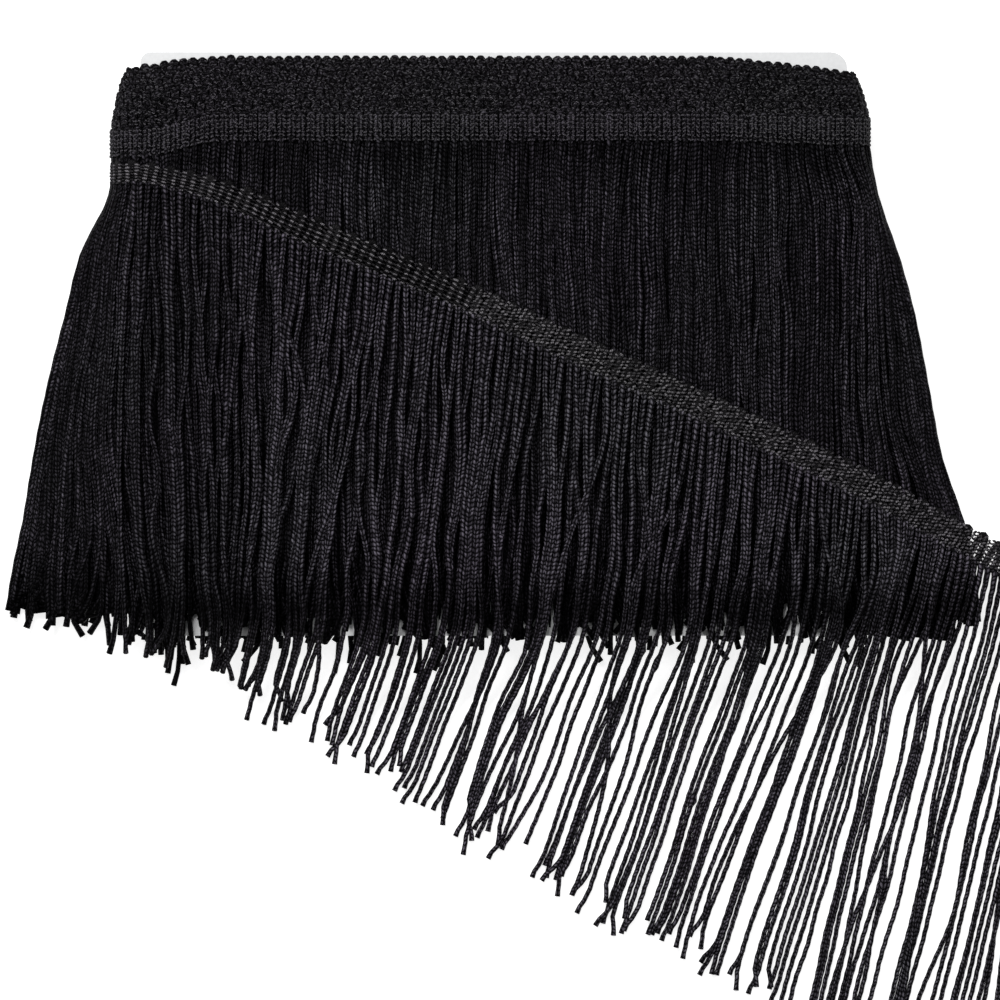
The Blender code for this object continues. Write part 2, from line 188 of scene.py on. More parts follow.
def smoothstep(value: Array) -> Array:
    """Return 0 below 0, 1 above 1 and the S curve 3t^2 - 2t^3 between."""
    t = np.clip(value, 0, 1)
    return t * t * (3 - 2 * t)


class Ramp(NamedTuple):
    """An S curve that rises from 0 at its start to 1 a run further on; a run below 0 goes back."""

    start: float
    run: float

    def at(self, value: Array) -> Array:
        """Return the curve at each value."""
        return smoothstep((value - self.start) / self.run)


class Bell(NamedTuple):
    """A bell curve exp(-((value - middle) / width)^2)."""

    middle: float
    width: float

    def at(self, value: Array) -> Array:
        """Return the curve at each value."""
        return np.exp(-(((value - self.middle) / self.width) ** 2))


def blend(low: Array | float, high: Array | float, share: Array) -> Array:
    """Return low where the share is 0, high where it is 1 and a mix between."""
    return low * (1 - share) + high * share


def unit(vectors: Array) -> Array:
    """Return the vectors at length one."""
    return vectors / np.maximum(np.linalg.norm(vectors, axis=-1, keepdims=True), 1e-12)


def lengths(points: Array) -> Array:
    """Return the length along each line of points, from 0 at its start."""
    steps = np.linalg.norm(np.diff(points, axis=-2), axis=-1)
    return np.concatenate([0 * steps[..., :1], np.cumsum(steps, axis=-1)], axis=-1)


def smooth_through(knots: Array, values: Array, at: Array) -> Array:
    """Return a cubic Hermite curve through the values, with centred differences for slopes.

    Args:
        knots: Rising places of the values.
        values: The values there, along the first axis.
        at: Places to read.

    Returns:
        The curve's values: the shape of ``at``, then the other axes of ``values``.
    """
    slopes = np.gradient(values, knots, axis=0)
    at = np.clip(at, knots[0], knots[-1])
    index = np.clip(np.searchsorted(knots, at) - 1, 0, len(knots) - 2)
    span = knots[index + 1] - knots[index]
    t = (at - knots[index]) / span
    if values.ndim > 1:
        span, t = span[:, None], t[:, None]
    rise = values[index] * (2 * t**3 - 3 * t**2 + 1) + values[index + 1] * (3 * t**2 - 2 * t**3)
    lean = slopes[index] * (t**3 - 2 * t**2 + t) + slopes[index + 1] * (t**3 - t**2)
    return rise + lean * span


def soft_limit(value: Array, limit: Array, softness: float) -> Array:
    """Return limit - softness * ln(1 + exp((limit - value) / softness)), which never passes the limit."""
    return limit - softness * np.logaddexp(0, (limit - value) / softness)


def lap_round(straight: Array, arc_steps: int) -> tuple[Array, Array, Array]:
    """Return one lap of the card: the front, the right edge, the back and the left edge.

    Args:
        straight: Places across the front, from -1 to 1.
        arc_steps: Steps round each edge.

    Returns:
        Place across the card, angle round its edge, and side: -1, 1 or 0 between the edges.
    """
    arc = np.linspace(QUARTER, -QUARTER, arc_steps + 1)[1:-1]
    one, none = np.ones(len(arc)), np.zeros(len(straight))
    across = np.concatenate([straight, one, straight[::-1], -one])
    angle = np.concatenate([none + QUARTER, arc, none - QUARTER, arc[::-1]])
    return across, angle, np.concatenate([none, one, none, -one])


@dataclass
class MeshParts:
    """Points, quads, corner UVs and tones of some yarn."""

    points: Array
    quads: Array
    uv: Array
    tone: Array

    @staticmethod
    def joined(*parts: "MeshParts") -> "MeshParts":
        """Return all the parts as one."""
        starts = np.cumsum([0] + [len(part.points) for part in parts[:-1]])
        quads = np.concatenate([part.quads + start for part, start in zip(parts, starts)])
        points, uv, tone = (np.concatenate([getattr(part, key) for part in parts])
                            for key in ("points", "uv", "tone"))
        return MeshParts(points, quads, uv, tone)

    def piece(self, name: str, material: Material, centre: Array) -> bpy.types.Object:
        """Return a new object, moved out by the centre and pressed flat where it lies on the table."""
        points = self.points + centre
        points[:, 2] = np.maximum(points[:, 2], LEAST_HEIGHT)
        mesh = bpy.data.meshes.new(name)
        mesh.vertices.add(len(points))
        mesh.loops.add(self.quads.size)
        mesh.polygons.add(len(self.quads))

        def fill(rows: bpy.types.bpy_prop_collection, key: str, values: Array, kind: type) -> None:
            """Set one property of all the rows."""
            rows.foreach_set(key, np.ascontiguousarray(values, dtype=kind).ravel())

        fill(mesh.vertices, "co", points, np.float32)
        fill(mesh.loops, "vertex_index", self.quads, np.int32)
        fill(mesh.polygons, "loop_start", np.arange(0, self.quads.size, 4), np.int32)
        fill(mesh.polygons, "use_smooth", np.ones(len(self.quads)), bool)
        fill(mesh.uv_layers.new(name="UVMap").data, "uv", self.uv, np.float32)
        fill(mesh.attributes.new("tone", "FLOAT", "POINT").data, "value", self.tone, np.float32)
        mesh.update(calc_edges=True)
        mesh.materials.append(material)
        made = bpy.data.objects.new(name, mesh)
        bpy.context.scene.collection.objects.link(made)
        log.info("%s: %d faces", name, len(self.quads))
        return made


def sweep(paths: Array, faces: Array, half_width: Array | float, half_height: Array | float, sides: int,
          tones: Array, twist: Array | float = 0, flank: float = 0.4, start: Array | float = 0) -> MeshParts:
    """Carry an oval along each of many paths and close its ends.

    Each ring is path + half_width * cos(a) * side + half_height * sin(a) * lift, where side
    is across the path in the plane of the cloth and lift stands on it. The tone falls from
    the top and bottom, where |sin(a)| is most, to the flanks.

    Args:
        paths: Middle lines, cords x points x 3.
        faces: Directions out of the cloth.
        half_width: Half the oval's width.
        half_height: Half its height.
        sides: Its corners, an even number.
        tones: Brightness, cords x points.
        twist: Turn of the stitch pattern about the path.
        flank: Share of the tone left on the flanks, which are painted in shade.
        start: Where the stitch pattern starts along each cord.

    Returns:
        The tubes. U goes round once from the cord's own number, and V is the length in metres.
    """
    cords, points = paths.shape[:2]
    forward = unit(np.gradient(paths, axis=1))
    side = unit(np.cross(forward, faces))
    lift = np.cross(side, forward)
    angle = -np.arange(sides) / sides * TURN
    wide, high, turn = (np.broadcast_to(v, (cords, points))[..., None] for v in (half_width, half_height, twist))
    ring = (side[:, :, None] * np.cos(angle)[:, None] * wide[..., None]
            + lift[:, :, None] * np.sin(angle)[:, None] * high[..., None])
    index = np.arange(cords * points * sides).reshape(cords, points, sides)
    right = np.roll(index, -1, axis=2)
    tube = np.stack([index[:, :-1], right[:, :-1], right[:, 1:], index[:, 1:]], axis=-1)
    fan = np.array([[0, k, k + 1, k + 2] for k in range(1, sides - 2, 2)])
    caps = np.concatenate([fan[None, :, ::-1] + index[:, :1, :1], fan[None] + index[:, -1:, :1]], axis=1)
    near = np.arange(sides) / sides + turn + np.arange(cords)[:, None, None]
    near, far, step = near[:, :-1], near[:, 1:], 1 / sides
    along = (lengths(paths) + start)[..., None]
    v_near, v_far = along[:, :-1] + 0 * near, along[:, 1:] + 0 * near
    u = np.stack([near, near + step, far + step, far], axis=-1)
    v = np.stack([v_near, v_near, v_far, v_far], axis=-1)
    uv = np.concatenate([np.stack([u, v], axis=-1).reshape(-1, 2), np.full((caps.size, 2), 0.25)])
    # Painted shade: the tone falls from the top and bottom of each ring to its flanks, where neighbouring cords shade
    # them.
    rise = np.abs(np.sin(angle))
    tone = tones[:, :, None] * (flank + (1 - flank) * rise / rise.max())
    return MeshParts((paths[:, :, None] + ring).reshape(-1, 3),
                     np.concatenate([tube.reshape(-1, 4), caps.reshape(-1, 4)]), uv, np.clip(tone.ravel(), 0, 1))


# ---- finishes


class Nodes:
    """A node material in the making. Colours are given without alpha."""

    def __init__(self, name: str, surface: dict[str, float | tuple]) -> None:
        """Start the material and set its shader's own sockets."""
        self.material = bpy.data.materials.new(name)
        self.material.use_nodes = True
        self.tree = self.material.node_tree
        self.shader = self.tree.nodes["Principled BSDF"]
        self.feed(self.shader, surface)

    def feed(self, node: bpy.types.Node, inputs: dict) -> None:
        """Set a node's inputs to numbers and colours, or join them to sockets."""
        for key, value in inputs.items():
            if isinstance(value, NodeSocket):
                self.tree.links.new(value, node.inputs[key])
            else:
                node.inputs[key].default_value = (*value, 1.0) if isinstance(value, tuple) else value

    def add(self, kind: str, inputs: dict, output: str | int = 0, **settings: str) -> NodeSocket:
        """Return an output of a new node with these inputs and settings."""
        node = self.tree.nodes.new("ShaderNode" + kind)
        for key, value in settings.items():
            setattr(node, key, value)
        self.feed(node, inputs)
        return node.outputs[output]

    def math(self, operation: str, *values: NodeSocket | float) -> NodeSocket:
        """Return the output of a Math node."""
        return self.add("Math", dict(enumerate(values)), operation=operation)

    def noise(self, scale: float, detail: float) -> NodeSocket:
        """Return noise on the piece's own coordinates."""
        return self.add("TexNoise", {"Vector": self.add("TexCoord", {}, "Object"), "Scale": scale, "Detail": detail})

    def mix(self, low: NodeSocket | tuple, high: NodeSocket | tuple, share: NodeSocket) -> NodeSocket:
        """Return the mix of two colours."""
        return self.add("Mix", {"A": low, "B": high, "Factor": share}, "Result", data_type="RGBA")

    def finish(self, colour: NodeSocket, height: NodeSocket, depth: float) -> Material:
        """Join the colour and a bump of that depth to the shader, and return the material."""
        normal = self.add("Bump", {"Height": height, "Distance": depth})
        self.feed(self.shader, {"Base Color": colour, "Normal": normal})
        return self.material


class Stitch(Enum):
    """The kinds of yarn surface on the trim."""

    CHAIN = "chain"
    LINK = "link"


@dataclass(frozen=True)
class YarnFinish:
    """Black rayon yarn as chain stitch or as the heading's links, its soft sheen painted as brighter crowns over shaded
    hollows.
    """

    name: str
    stitch: Stitch
    crown_sheen_colour: Triple
    second_crown_sheen_colour: Triple
    hollow_shade_colour: Triple = (0.0006, 0.0005, 0.0007)
    roughness: float = 0.5
    specular: float = 0.03
    contrast: float = 1.45
    stitch_length: float = 1.35 * MM
    stitch_slant: float = 0.48
    stitch_drift: float = 1.6
    # How dim and how bright each stitch's painted glint may be.
    dull_stitch: float = 0.4
    bright_stitch: float = 1.9
    bump: float = 0.3 * MM
    ply_length: float = 0.54 * MM
    dye_patch: float = 22.0

    def material(self) -> Material:
        """Return the node material: painted highlights on the stitches' crowns over painted shade in their hollows, a
        bump from the stitch, and a tone for each strand.

        The crown colour drifts between two blacks over broad patches.
        """
        nodes = Nodes(self.name, {"Roughness": self.roughness, "Specular IOR Level": self.specular})
        tone = nodes.add("Attribute", {}, "Fac", attribute_name="tone")
        u = nodes.add("SeparateXYZ", {"Vector": nodes.add("UVMap", {}, uv_map="UVMap")})
        v = u.node.outputs["Y"]
        if self.stitch is Stitch.CHAIN:
            height, catch = self.chain_stitch(nodes, u, v)
            tone = nodes.math("MULTIPLY", tone, catch)
        else:
            height = self.link_height(nodes, u, v)
        # Painted highlight and shade: the stitches' crowns are mixed towards the crown's sheen colour, and the hollows
        # are kept at the shaded black.
        lift = nodes.math("MULTIPLY", nodes.math("POWER", height, self.contrast), tone)
        crown = nodes.mix(self.crown_sheen_colour, self.second_crown_sheen_colour, nodes.noise(self.dye_patch, 1))
        return nodes.finish(nodes.mix(self.hollow_shade_colour, crown, lift), height, self.bump)

    def chain_stitch(self, nodes: Nodes, u: NodeSocket, v: NodeSocket) -> tuple[NodeSocket, NodeSocket]:
        """Return the height of a chain stitch, and how well each stitch catches the light.

        Across each half of the cord, w runs from 0 at its middle line to 1 at its edge. Every
        stitch is a bump |sin(pi (length / stitch + slant w))|, thinned to nothing where w is 0
        or 1, so two rows of slanted bumps meet in a V along the cord. The stitches' length
        drifts a little along each cord, and every one has a brightness of its own.

        Args:
            nodes: The material.
            u: Turns round the cord.
            v: Length along it.

        Returns:
            The height and the brightness.
        """
        calc = nodes.math
        beside = calc("SUBTRACT", calc("FRACT", calc("MULTIPLY", u, 2)), 0.5)
        beside = calc("MULTIPLY", calc("ABSOLUTE", beside), 2)
        along = calc("MULTIPLY", v, 1 / self.stitch_length)
        place = nodes.add("CombineXYZ", {"X": calc("FLOOR", u), "Y": calc("MULTIPLY", along, 0.3)})
        drift = nodes.add("TexNoise", {"Vector": place, "Scale": 1, "Detail": 1}, noise_dimensions="2D")
        phase = calc("ADD", along, calc("MULTIPLY", beside, self.stitch_slant))
        phase = calc("ADD", phase, calc("MULTIPLY", drift, self.stitch_drift))
        loop = calc("ABSOLUTE", calc("SINE", calc("MULTIPLY", phase, math.pi)))
        arm = calc("ADD", calc("SINE", calc("MULTIPLY", beside, math.pi)), 0.02)
        height = calc("MULTIPLY", loop, calc("POWER", arm, 0.95))
        cell = nodes.add("CombineXYZ", {"X": calc("FLOOR", calc("MULTIPLY", u, 4)), "Y": calc("FLOOR", phase)})
        chance = nodes.add("TexWhiteNoise", {"Vector": cell}, noise_dimensions="2D")
        gain = calc("MULTIPLY", chance, self.bright_stitch - self.dull_stitch)
        return height, calc("ADD", gain, self.dull_stitch)

    def link_height(self, nodes: Nodes, u: NodeSocket, v: NodeSocket) -> NodeSocket:
        """Return the height of a heading yarn: plies that wind round it as slanted ridges."""
        phase = nodes.math("ADD", nodes.math("MULTIPLY", v, 1 / self.ply_length), u)
        ridge = nodes.math("ABSOLUTE", nodes.math("SINE", nodes.math("MULTIPLY", phase, math.pi)))
        return nodes.math("ADD", nodes.math("MULTIPLY", ridge, 0.55), 0.45)


@dataclass(frozen=True)
class BoardFinish:
    """Matt white winding board with faint fibres."""

    name: str = "white_board"
    colour: Triple = (0.70, 0.705, 0.71)
    roughness: float = 0.7
    fibre_scale: float = 900.0
    fibre_depth: float = 0.03 * MM

    def material(self) -> Material:
        """Return the node material: a pale base mottled and roughened by fibres."""
        nodes = Nodes(self.name, {"Roughness": self.roughness})
        fibres = nodes.noise(self.fibre_scale, 5)
        colour = nodes.add("ValToRGB", {"Fac": fibres})
        dark, pale = colour.node.color_ramp.elements
        dark.position, dark.color = 0.3, (*(c * 0.93 for c in self.colour), 1.0)
        pale.position, pale.color = 0.7, (*self.colour, 1.0)
        return nodes.finish(colour, fibres, self.fibre_depth)


# ---- the winding's shape


class SkirtSection(NamedTuple):
    """One section across the wound fringe, from the card's centre."""

    y: float
    left_reach: float
    right_reach: float
    top: float
    edge: float
    spread: float


@dataclass(frozen=True)
class StripPath:
    """The upper edge of a strip of heading, with the strip's directions along it."""

    along: Array
    edge: Array
    down: Array
    face: Array

    def read(self, values: Array, along: Array) -> Array:
        """Return rows of values at lengths along the strip."""
        return np.stack([np.interp(along, self.along, column) for column in values.T], axis=-1)

    def place(self, along: Array, across: Array, lift: Array | float) -> Array:
        """Return the points at lengths along, distances down from the upper edge and lifts off the strip."""
        across, lift = np.broadcast_arrays(across, lift)
        return (self.read(self.edge, along) + self.read(self.down, along) * across[..., None]
                + self.read(self.face, along) * lift[..., None])


@dataclass(frozen=True)
class SpiralPath(StripPath):
    """The path of all the turns. ``ring`` holds place across, angle round the edge, side and turn."""

    ring: Array


@dataclass(frozen=True)
class Winding:
    """The form that the turns take round the card, and how the loose end drapes over it."""

    centre: Triple
    half_width: float
    card_thickness: float
    turns: int = 10
    turn_thickness: float = 0.85 * MM
    turn_step: float = 1.9 * MM
    gap: float = 0.3 * MM
    heading_width: float = 8.3 * MM
    loose_width: float = 9.4 * MM
    loose_lift: float = 0.55 * MM
    top_turn_y: float = 85.8 * MM
    left_squeeze: float = 0.93
    left_bulge: float = 0.6
    right_squeeze: float = 0.70
    left_droop: float = 1.5 * MM
    left_droop_run: float = 26 * MM
    right_droop: float = 3.4 * MM
    right_droop_run: float = 45 * MM
    corner_droop: float = 1.15 * MM
    corner_droop_run: float = 11 * MM
    outer_left_droop: float = 3.1
    outer_right_droop: float = 0.33
    wrap_bunching: float = 1.5
    column: float = 2.87 * MM
    drape_top: float = 20.1 * MM
    drape_spread: float = 17 * MM
    drape_fall_start: float = -72 * MM
    drape_fall_end: float = -118 * MM
    drift: float = 7 * MM
    drift_across: Bell = Bell(-114 * MM, 20 * MM)
    drift_down: Ramp = Ramp(-22 * MM, -62 * MM)
    bunching_power: int = 6
    wrap_start: float = math.radians(-40)
    wrap_inset: float = 0.6 * MM
    wrap_narrow: float = 0.68
    wrap_widening: Ramp = Ramp(0, 50 * MM)
    straight_steps: int = 60
    arc_steps: int = 12
    wrap_steps: int = 24
    route_steps: int = 260

    sections = tuple(SkirtSection(*sizes) for sizes in (
        (-0.0920, 0.0415, 0.0375, 0.0122, 0.0024, 1.0),
        (-0.0700, 0.0385, 0.0355, 0.0168, 0.0028, 1.0),
        (-0.0540, 0.0352, 0.0325, 0.0190, 0.0032, 1.0),
        (-0.0320, 0.0315, 0.0275, 0.0194, 0.0038, 1.0),
        (-0.0100, 0.0270, 0.0234, 0.0196, 0.0048, 1.0),
        (0.0100, 0.0218, 0.0194, 0.0196, 0.0060, 1.0),
        (0.0280, 0.0172, 0.0145, 0.0195, 0.0075, 0.5),
        (0.0455, 0.0092, 0.0088, 0.0191, 0.0092, 0.0),
        (0.0600, 0.0086, 0.0063, 0.0188, 0.0098, 0.0)))
    # X and Y of the points that the middle of the loose heading passes over.
    route = ((-0.1060, 0.0508), (-0.0909, 0.0477), (-0.0525, 0.0321), (-0.0144, 0.0162), (0.0240, -0.0018),
             (0.0624, -0.0192), (0.1005, -0.0375), (0.1389, -0.0576), (0.1600, -0.0688), (0.1940, -0.0866))

    @property
    def half_slot(self) -> float:
        """Half the thickness of the card with its gaps."""
        return self.card_thickness / 2 + self.gap

    @property
    def plan_centre(self) -> Array:
        """The card's centre in plan, from which the winding is measured."""
        return np.array([self.centre[0], self.centre[1], 0.0])

    def section(self, y: Array, size: str) -> Array:
        """Return one size of the wound fringe's section at each Y."""
        knots, sizes = (np.array([getattr(row, key) for row in self.sections]) for key in ("y", size))
        return smooth_through(knots, sizes, y)

    def reach(self, x: Array, y: Array) -> Array:
        """Return how far the fringe spreads past the card's edge on the side of each x."""
        return np.where(x < 0, self.section(y, "left_reach"), self.section(y, "right_reach"))

    def beyond(self, x: Array, reach: Array) -> Array:
        """Return how far each x is past the card's edge, from 0 to 1 at the reach."""
        return np.clip((np.abs(x) - self.half_width) / reach, 0, 1)

    def near_edge(self, x: Array, run: float) -> Array:
        """Return an S curve that rises to 1 over a run up to the card's edge."""
        return Ramp(self.half_width - run, run).at(x)

    def front(self, x: Array, y: Array) -> Array:
        """Return the height of the wound fringe's face.

        It is level over the card. Past the card's edge it falls as a quarter ellipse near
        the headings and as a squared cosine lower down, mixed by the section's spread.
        """
        beyond = self.beyond(x, self.reach(x, y))
        spread = np.clip(self.section(y, "spread"), 0, 1)
        share = (1 - spread) * np.sqrt(1 - beyond**2) + spread * np.cos(QUARTER * beyond) ** 2
        edge = self.section(y, "edge")
        return edge + (self.section(y, "top") - edge) * share

    def back(self, x: Array, y: Array) -> Array:
        """Return the height of the wound fringe's back, which curls up past the card's edge."""
        return self.section(y, "edge") * (1 - np.sqrt(1 - self.beyond(x, self.reach(x, y)) ** 2))

    def drape(self, x: Array, y: Array) -> Array:
        """Return the height of the underside of whatever drapes over the winding, 0 on the table."""
        beyond = self.beyond(x, self.reach(x, y) + self.drape_spread)
        below = np.clip((self.drape_fall_start - y) / (self.drape_fall_start - self.drape_fall_end), 0, 1)
        return self.drape_top * np.cos(QUARTER * beyond) ** 2 * np.cos(QUARTER * below) ** 2

    def heading_top(self, across: Array, turn: Array | int) -> Array:
        """Return the Y of a turn's upper edge at places across the card from -1 to 1."""
        x = across * self.half_width
        share = turn / (self.turns - 1)
        left = self.left_droop * self.near_edge(-x, self.left_droop_run)
        right = self.right_droop * self.near_edge(x, self.right_droop_run)
        droop = left * (1 + (self.outer_left_droop - 1) * share) + right * (1 + (self.outer_right_droop - 1) * share)
        droop = droop + self.corner_droop * self.near_edge(np.abs(x), self.corner_droop_run) * (1 - share) ** 2
        bunching = 1 + (self.wrap_bunching - 1) * np.abs(across) ** self.bunching_power
        return self.top_turn_y - (self.turns - 1) * self.turn_step * share**bunching - droop

    def spiral(self) -> SpiralPath:
        """Return the path of all the turns.

        Each turn climbs onto the next layer behind the card. The last one ends there.
        """
        straight = np.linspace(-1, 1, self.straight_steps + 1)
        lap, arc = np.stack(lap_round(straight, self.arc_steps)), self.arc_steps - 1
        climb = np.concatenate([np.zeros(len(straight) + arc), 0.5 * (straight + 1), np.ones(arc)])
        number = np.repeat(np.arange(self.turns), len(climb))
        turn = np.minimum(number + np.tile(climb, self.turns), self.turns - 1)
        across, angle, side, turn = np.stack([*np.tile(lap, self.turns), turn])[:, :-arc]
        radius = self.half_slot + (turn + 0.5) * self.turn_thickness
        squeeze = np.where(side < 0, self.left_squeeze, self.right_squeeze)
        full = self.half_slot + self.turns * self.turn_thickness
        bulged = np.where(side < 0, full * (radius / full) ** self.left_bulge, radius)
        out = np.cos(angle) * np.abs(side)
        x = across * self.half_width + side * bulged * squeeze * out
        edge = np.stack([x, self.heading_top(across, turn), self.centre[2] + radius * np.sin(angle)], axis=1)
        down = np.broadcast_to([0.0, -1.0, 0.0], edge.shape)
        face = unit(np.stack([side * out / squeeze, 0 * x, np.sin(angle)], axis=1))
        return SpiralPath(lengths(edge[:, ::2]), edge, down, face, np.stack([across, angle, side, turn], axis=1))

    def loose_path(self) -> tuple[StripPath, float]:
        """Return the path of the loose heading, and the length of the part that is round the edge.

        It comes round the left edge of the winding and follows its route over the drape.
        """
        points = np.array(self.route)
        at = np.linspace(0, lengths(points)[-1], self.route_steps)
        plan = smooth_through(lengths(points), points, at)
        narrow = self.wrap_narrow + (1 - self.wrap_narrow) * self.wrap_widening.at(at)
        half = 0.5 * self.loose_width * narrow[:, None]
        across = unit(np.gradient(plan, axis=0))[:, ::-1] * [1, -1] * half
        radius_x = (self.half_slot + self.turns * self.turn_thickness + self.gap) * self.left_squeeze - self.wrap_inset
        angles = np.linspace(self.wrap_start, QUARTER, self.wrap_steps)[:-1]
        wrap = np.stack([
            -self.half_width - radius_x * np.cos(angles), 0 * angles + points[0, 1],
            self.centre[2] + (self.drape_top - self.centre[2]) * np.sin(angles)], axis=1)
        edges = []
        for sign in (-1, 1):
            laid = plan + sign * across
            laid = np.column_stack([laid, self.drape(*laid.T) + self.loose_lift])
            edges.append(np.concatenate([wrap - [0, sign * half[0, 0], 0], laid]))
        top, low = edges
        middle = 0.5 * (top + low)
        along, down = lengths(middle), (low - top) / self.loose_width
        face = unit(np.cross(down, np.gradient(middle, axis=0)))
        return StripPath(along, top, down, face), float(along[len(angles)])

    def corner_drift(self, x: Array, y: Array) -> Array:
        """Return how far the yarn turns back towards the middle, low in the left corner."""
        return self.drift * self.drift_across.at(x) * self.drift_down.at(y)


# ---- yarn


class YarnChance:
    """A seeded source of the small irregularities of limp yarn. Most are strands x shares of length."""

    def __init__(self, seed: int) -> None:
        """Keep a random source of its own."""
        self.random = np.random.default_rng(seed)

    def even(self, count: int, low: float = 0, high: float = 1) -> Array:
        """Return a number for each strand, spread evenly."""
        return self.random.uniform(low, high, (count, 1))

    def normal(self, count: int, spread: float) -> Array:
        """Return a number for each strand, spread normally about 0."""
        return self.random.normal(0, spread, (count, 1))

    def gather(self, place: Array, share: Array, stations: int, strength: float, spacing: float,
               group: float) -> Array:
        """Return the sideways shift that gathers neighbouring strands into loose groups.

        The strands are grouped afresh at every station. Each is drawn towards its rank in the
        group, spacing apart about the middle, from at most 2.5 spacings away.

        Args:
            place: Place of each strand across the fringe, rising.
            share: Shares of the strand's length to read.
            stations: How many times the grouping changes.
            strength: Most of the way that a strand is drawn.
            spacing: Distance between the strands of a group.
            group: Mean number of strands in a group.

        Returns:
            The shift in metres.
        """
        count = len(place)
        shifts = [np.zeros(count)]
        for _ in range(stations):
            number = np.cumsum(self.even(count) < 1 / group)
            size = np.maximum(np.bincount(number), 1)
            middle = np.bincount(number, place) / size
            first = np.concatenate([[0], np.cumsum(size)[:-1]])
            rank = np.arange(count) - first[number] - 0.5 * (size[number] - 1)
            drawn = strength * self.even(count, 0.55)[:, 0]
            pull = middle[number] + rank * spacing - place
            shifts.append(np.clip(pull, -2.5 * spacing, 2.5 * spacing) * drawn)
        return smooth_through(np.linspace(0, 1, stations + 1), np.array(shifts), share).T

    def sway(self, place: Array, share: Array, waves: tuple[Triple, ...]) -> Array:
        """Return a shift that neighbours share: sines across the fringe whose phase drifts downwards.

        Args:
            place: Place of each strand across the fringe.
            share: Shares of the strand's length.
            waves: Wavelength across, height and phase drift of each sine.

        Returns:
            The shift in metres.
        """
        shift = 0
        for length, height, drift in waves:
            turn = TURN * place[:, None] / length + drift * share + self.random.uniform(0, TURN)
            shift = shift + height * np.sin(turn) * smoothstep(share * 2.2)
        return shift

    def wander(self, count: int, share: Array, lean: float, wave: float) -> Array:
        """Return each strand's own drift: a lean and four slow waves, growing from the root."""
        drift = self.normal(count, lean) * share**1.5
        for cycles in (1, 2, 3.5, 7):
            height, phase = self.normal(count, wave / cycles**0.8), self.even(count, 0, TURN)
            drift = drift + height * (np.sin(TURN * cycles * share + phase) - np.sin(phase)) * smoothstep(share * 3)
        return drift

    @staticmethod
    def spaced(x: Array, least: Array | float, rounds: int = 14) -> Array:
        """Return the rows of x moved apart where neighbours are less than the least distance apart."""
        least = (x * 0 + least)[1:]
        for _ in range(rounds):
            push = 0.5 * np.maximum(least - np.diff(x, axis=0), 0)
            x = x + np.pad(push, ((1, 0), (0, 0))) - np.pad(push, ((0, 1), (0, 0)))
        return x

    def hooks(self, count: int, share: Array, size: float, start: float = 0.945) -> Array:
        """Return the sideways curl of the cut tips."""
        return self.normal(count, size) * Ramp(start, 1 - start).at(share) ** 1.5

    def strays(self, count: int, share: Array, part: Array | float, size: float) -> Array:
        """Return the drift of the few strands that cross their neighbours."""
        chosen, middle, height = self.even(count) < part, self.even(count, 0.3, 0.9), self.normal(count, size)
        return chosen * height * Bell(middle, 0.28).at(share) * smoothstep(share * 3)

    def tones(self, count: int, share: Array, low: float, high: float) -> Array:
        """Return the brightness of each strand along its length, between low and high, mostly low."""
        base = low + (high - low) * self.even(count) ** 1.5
        phase = self.random.uniform(0, TURN, (count, 2, 1))
        swing = np.sin(9 * share + phase[:, 0]) + np.sin(23 * share + phase[:, 1])
        return np.clip(base + 0.15 * (high - low) * swing, 0, 1)

    def twist(self, count: int, share: Array) -> Array:
        """Return how each strand's stitch turns about it, in turns."""
        return self.even(count) + self.normal(count, 0.8) * share

    def weave(self, count: int, share: Array) -> Array:
        """Return how deep each strand sinks among its neighbours along its length, in plies."""
        phase, rate = self.even(count, 0, TURN), self.even(count, 4, 16)
        return self.even(count, 0.1, 0.9) + 0.35 * np.sin(phase + rate * share)


@dataclass(frozen=True)
class StrandCord:
    """The chain-stitch cord of the fringe."""

    width: float = 1.5 * MM
    height: float = 1.3 * MM
    sides: int = 6
    stitch_offset: float = 0.07 * MM
    tip_length: float = 1.8 * MM
    tip_flare: float = 0.18
    root_length: float = 8 * MM
    root_swell: float = 0.3
    # Share of the tone left on the cord's flanks: painted shade between strands.
    flank: float = 0.4

    def laid(self, length: Array, share: Array, root_z: Array, leave: float, lay: Callable) -> Array:
        """Return strands that are laid three times, reaching down so far that each has its length.

        Args:
            length: Their lengths.
            share: Shares of the length.
            root_z: Heights of their roots.
            leave: Length over which they leave their roots' height.
            lay: Gives X, Y and Z at distances down the cloth.

        Returns:
            The middle lines, strands x shares x 3.
        """
        scale = 1
        for _ in range(3):
            x, y, z = lay(length * share * scale)
            z = blend(root_z, z, smoothstep(length * share / leave))
            paths = np.stack([x, y, np.maximum(z, 0.5 * self.height)], axis=2)
            scale = scale * length / lengths(paths)[:, -1:]
        return paths

    def bundle(self, paths: Array, tones: Array, twist: Array, swell: Array) -> MeshParts:
        """Return the tubes of many cords, fuller at the root and opened at the cut ends."""
        side = unit(np.cross(np.gradient(paths, axis=1), UP))
        zigzag = self.stitch_offset * (-1.0) ** np.arange(paths.shape[1])[:, None]
        from_root = lengths(paths)
        to_tip = from_root[:, -1:] - from_root
        size = swell * (1 + self.tip_flare * smoothstep(1 - to_tip / self.tip_length)
                        + self.root_swell * smoothstep(1 - from_root / self.root_length))
        return sweep(paths + side * zigzag, UP, 0.5 * self.width * size, 0.5 * self.height * size,
                     self.sides, tones, twist, self.flank, 0.07 * twist[:, :1])


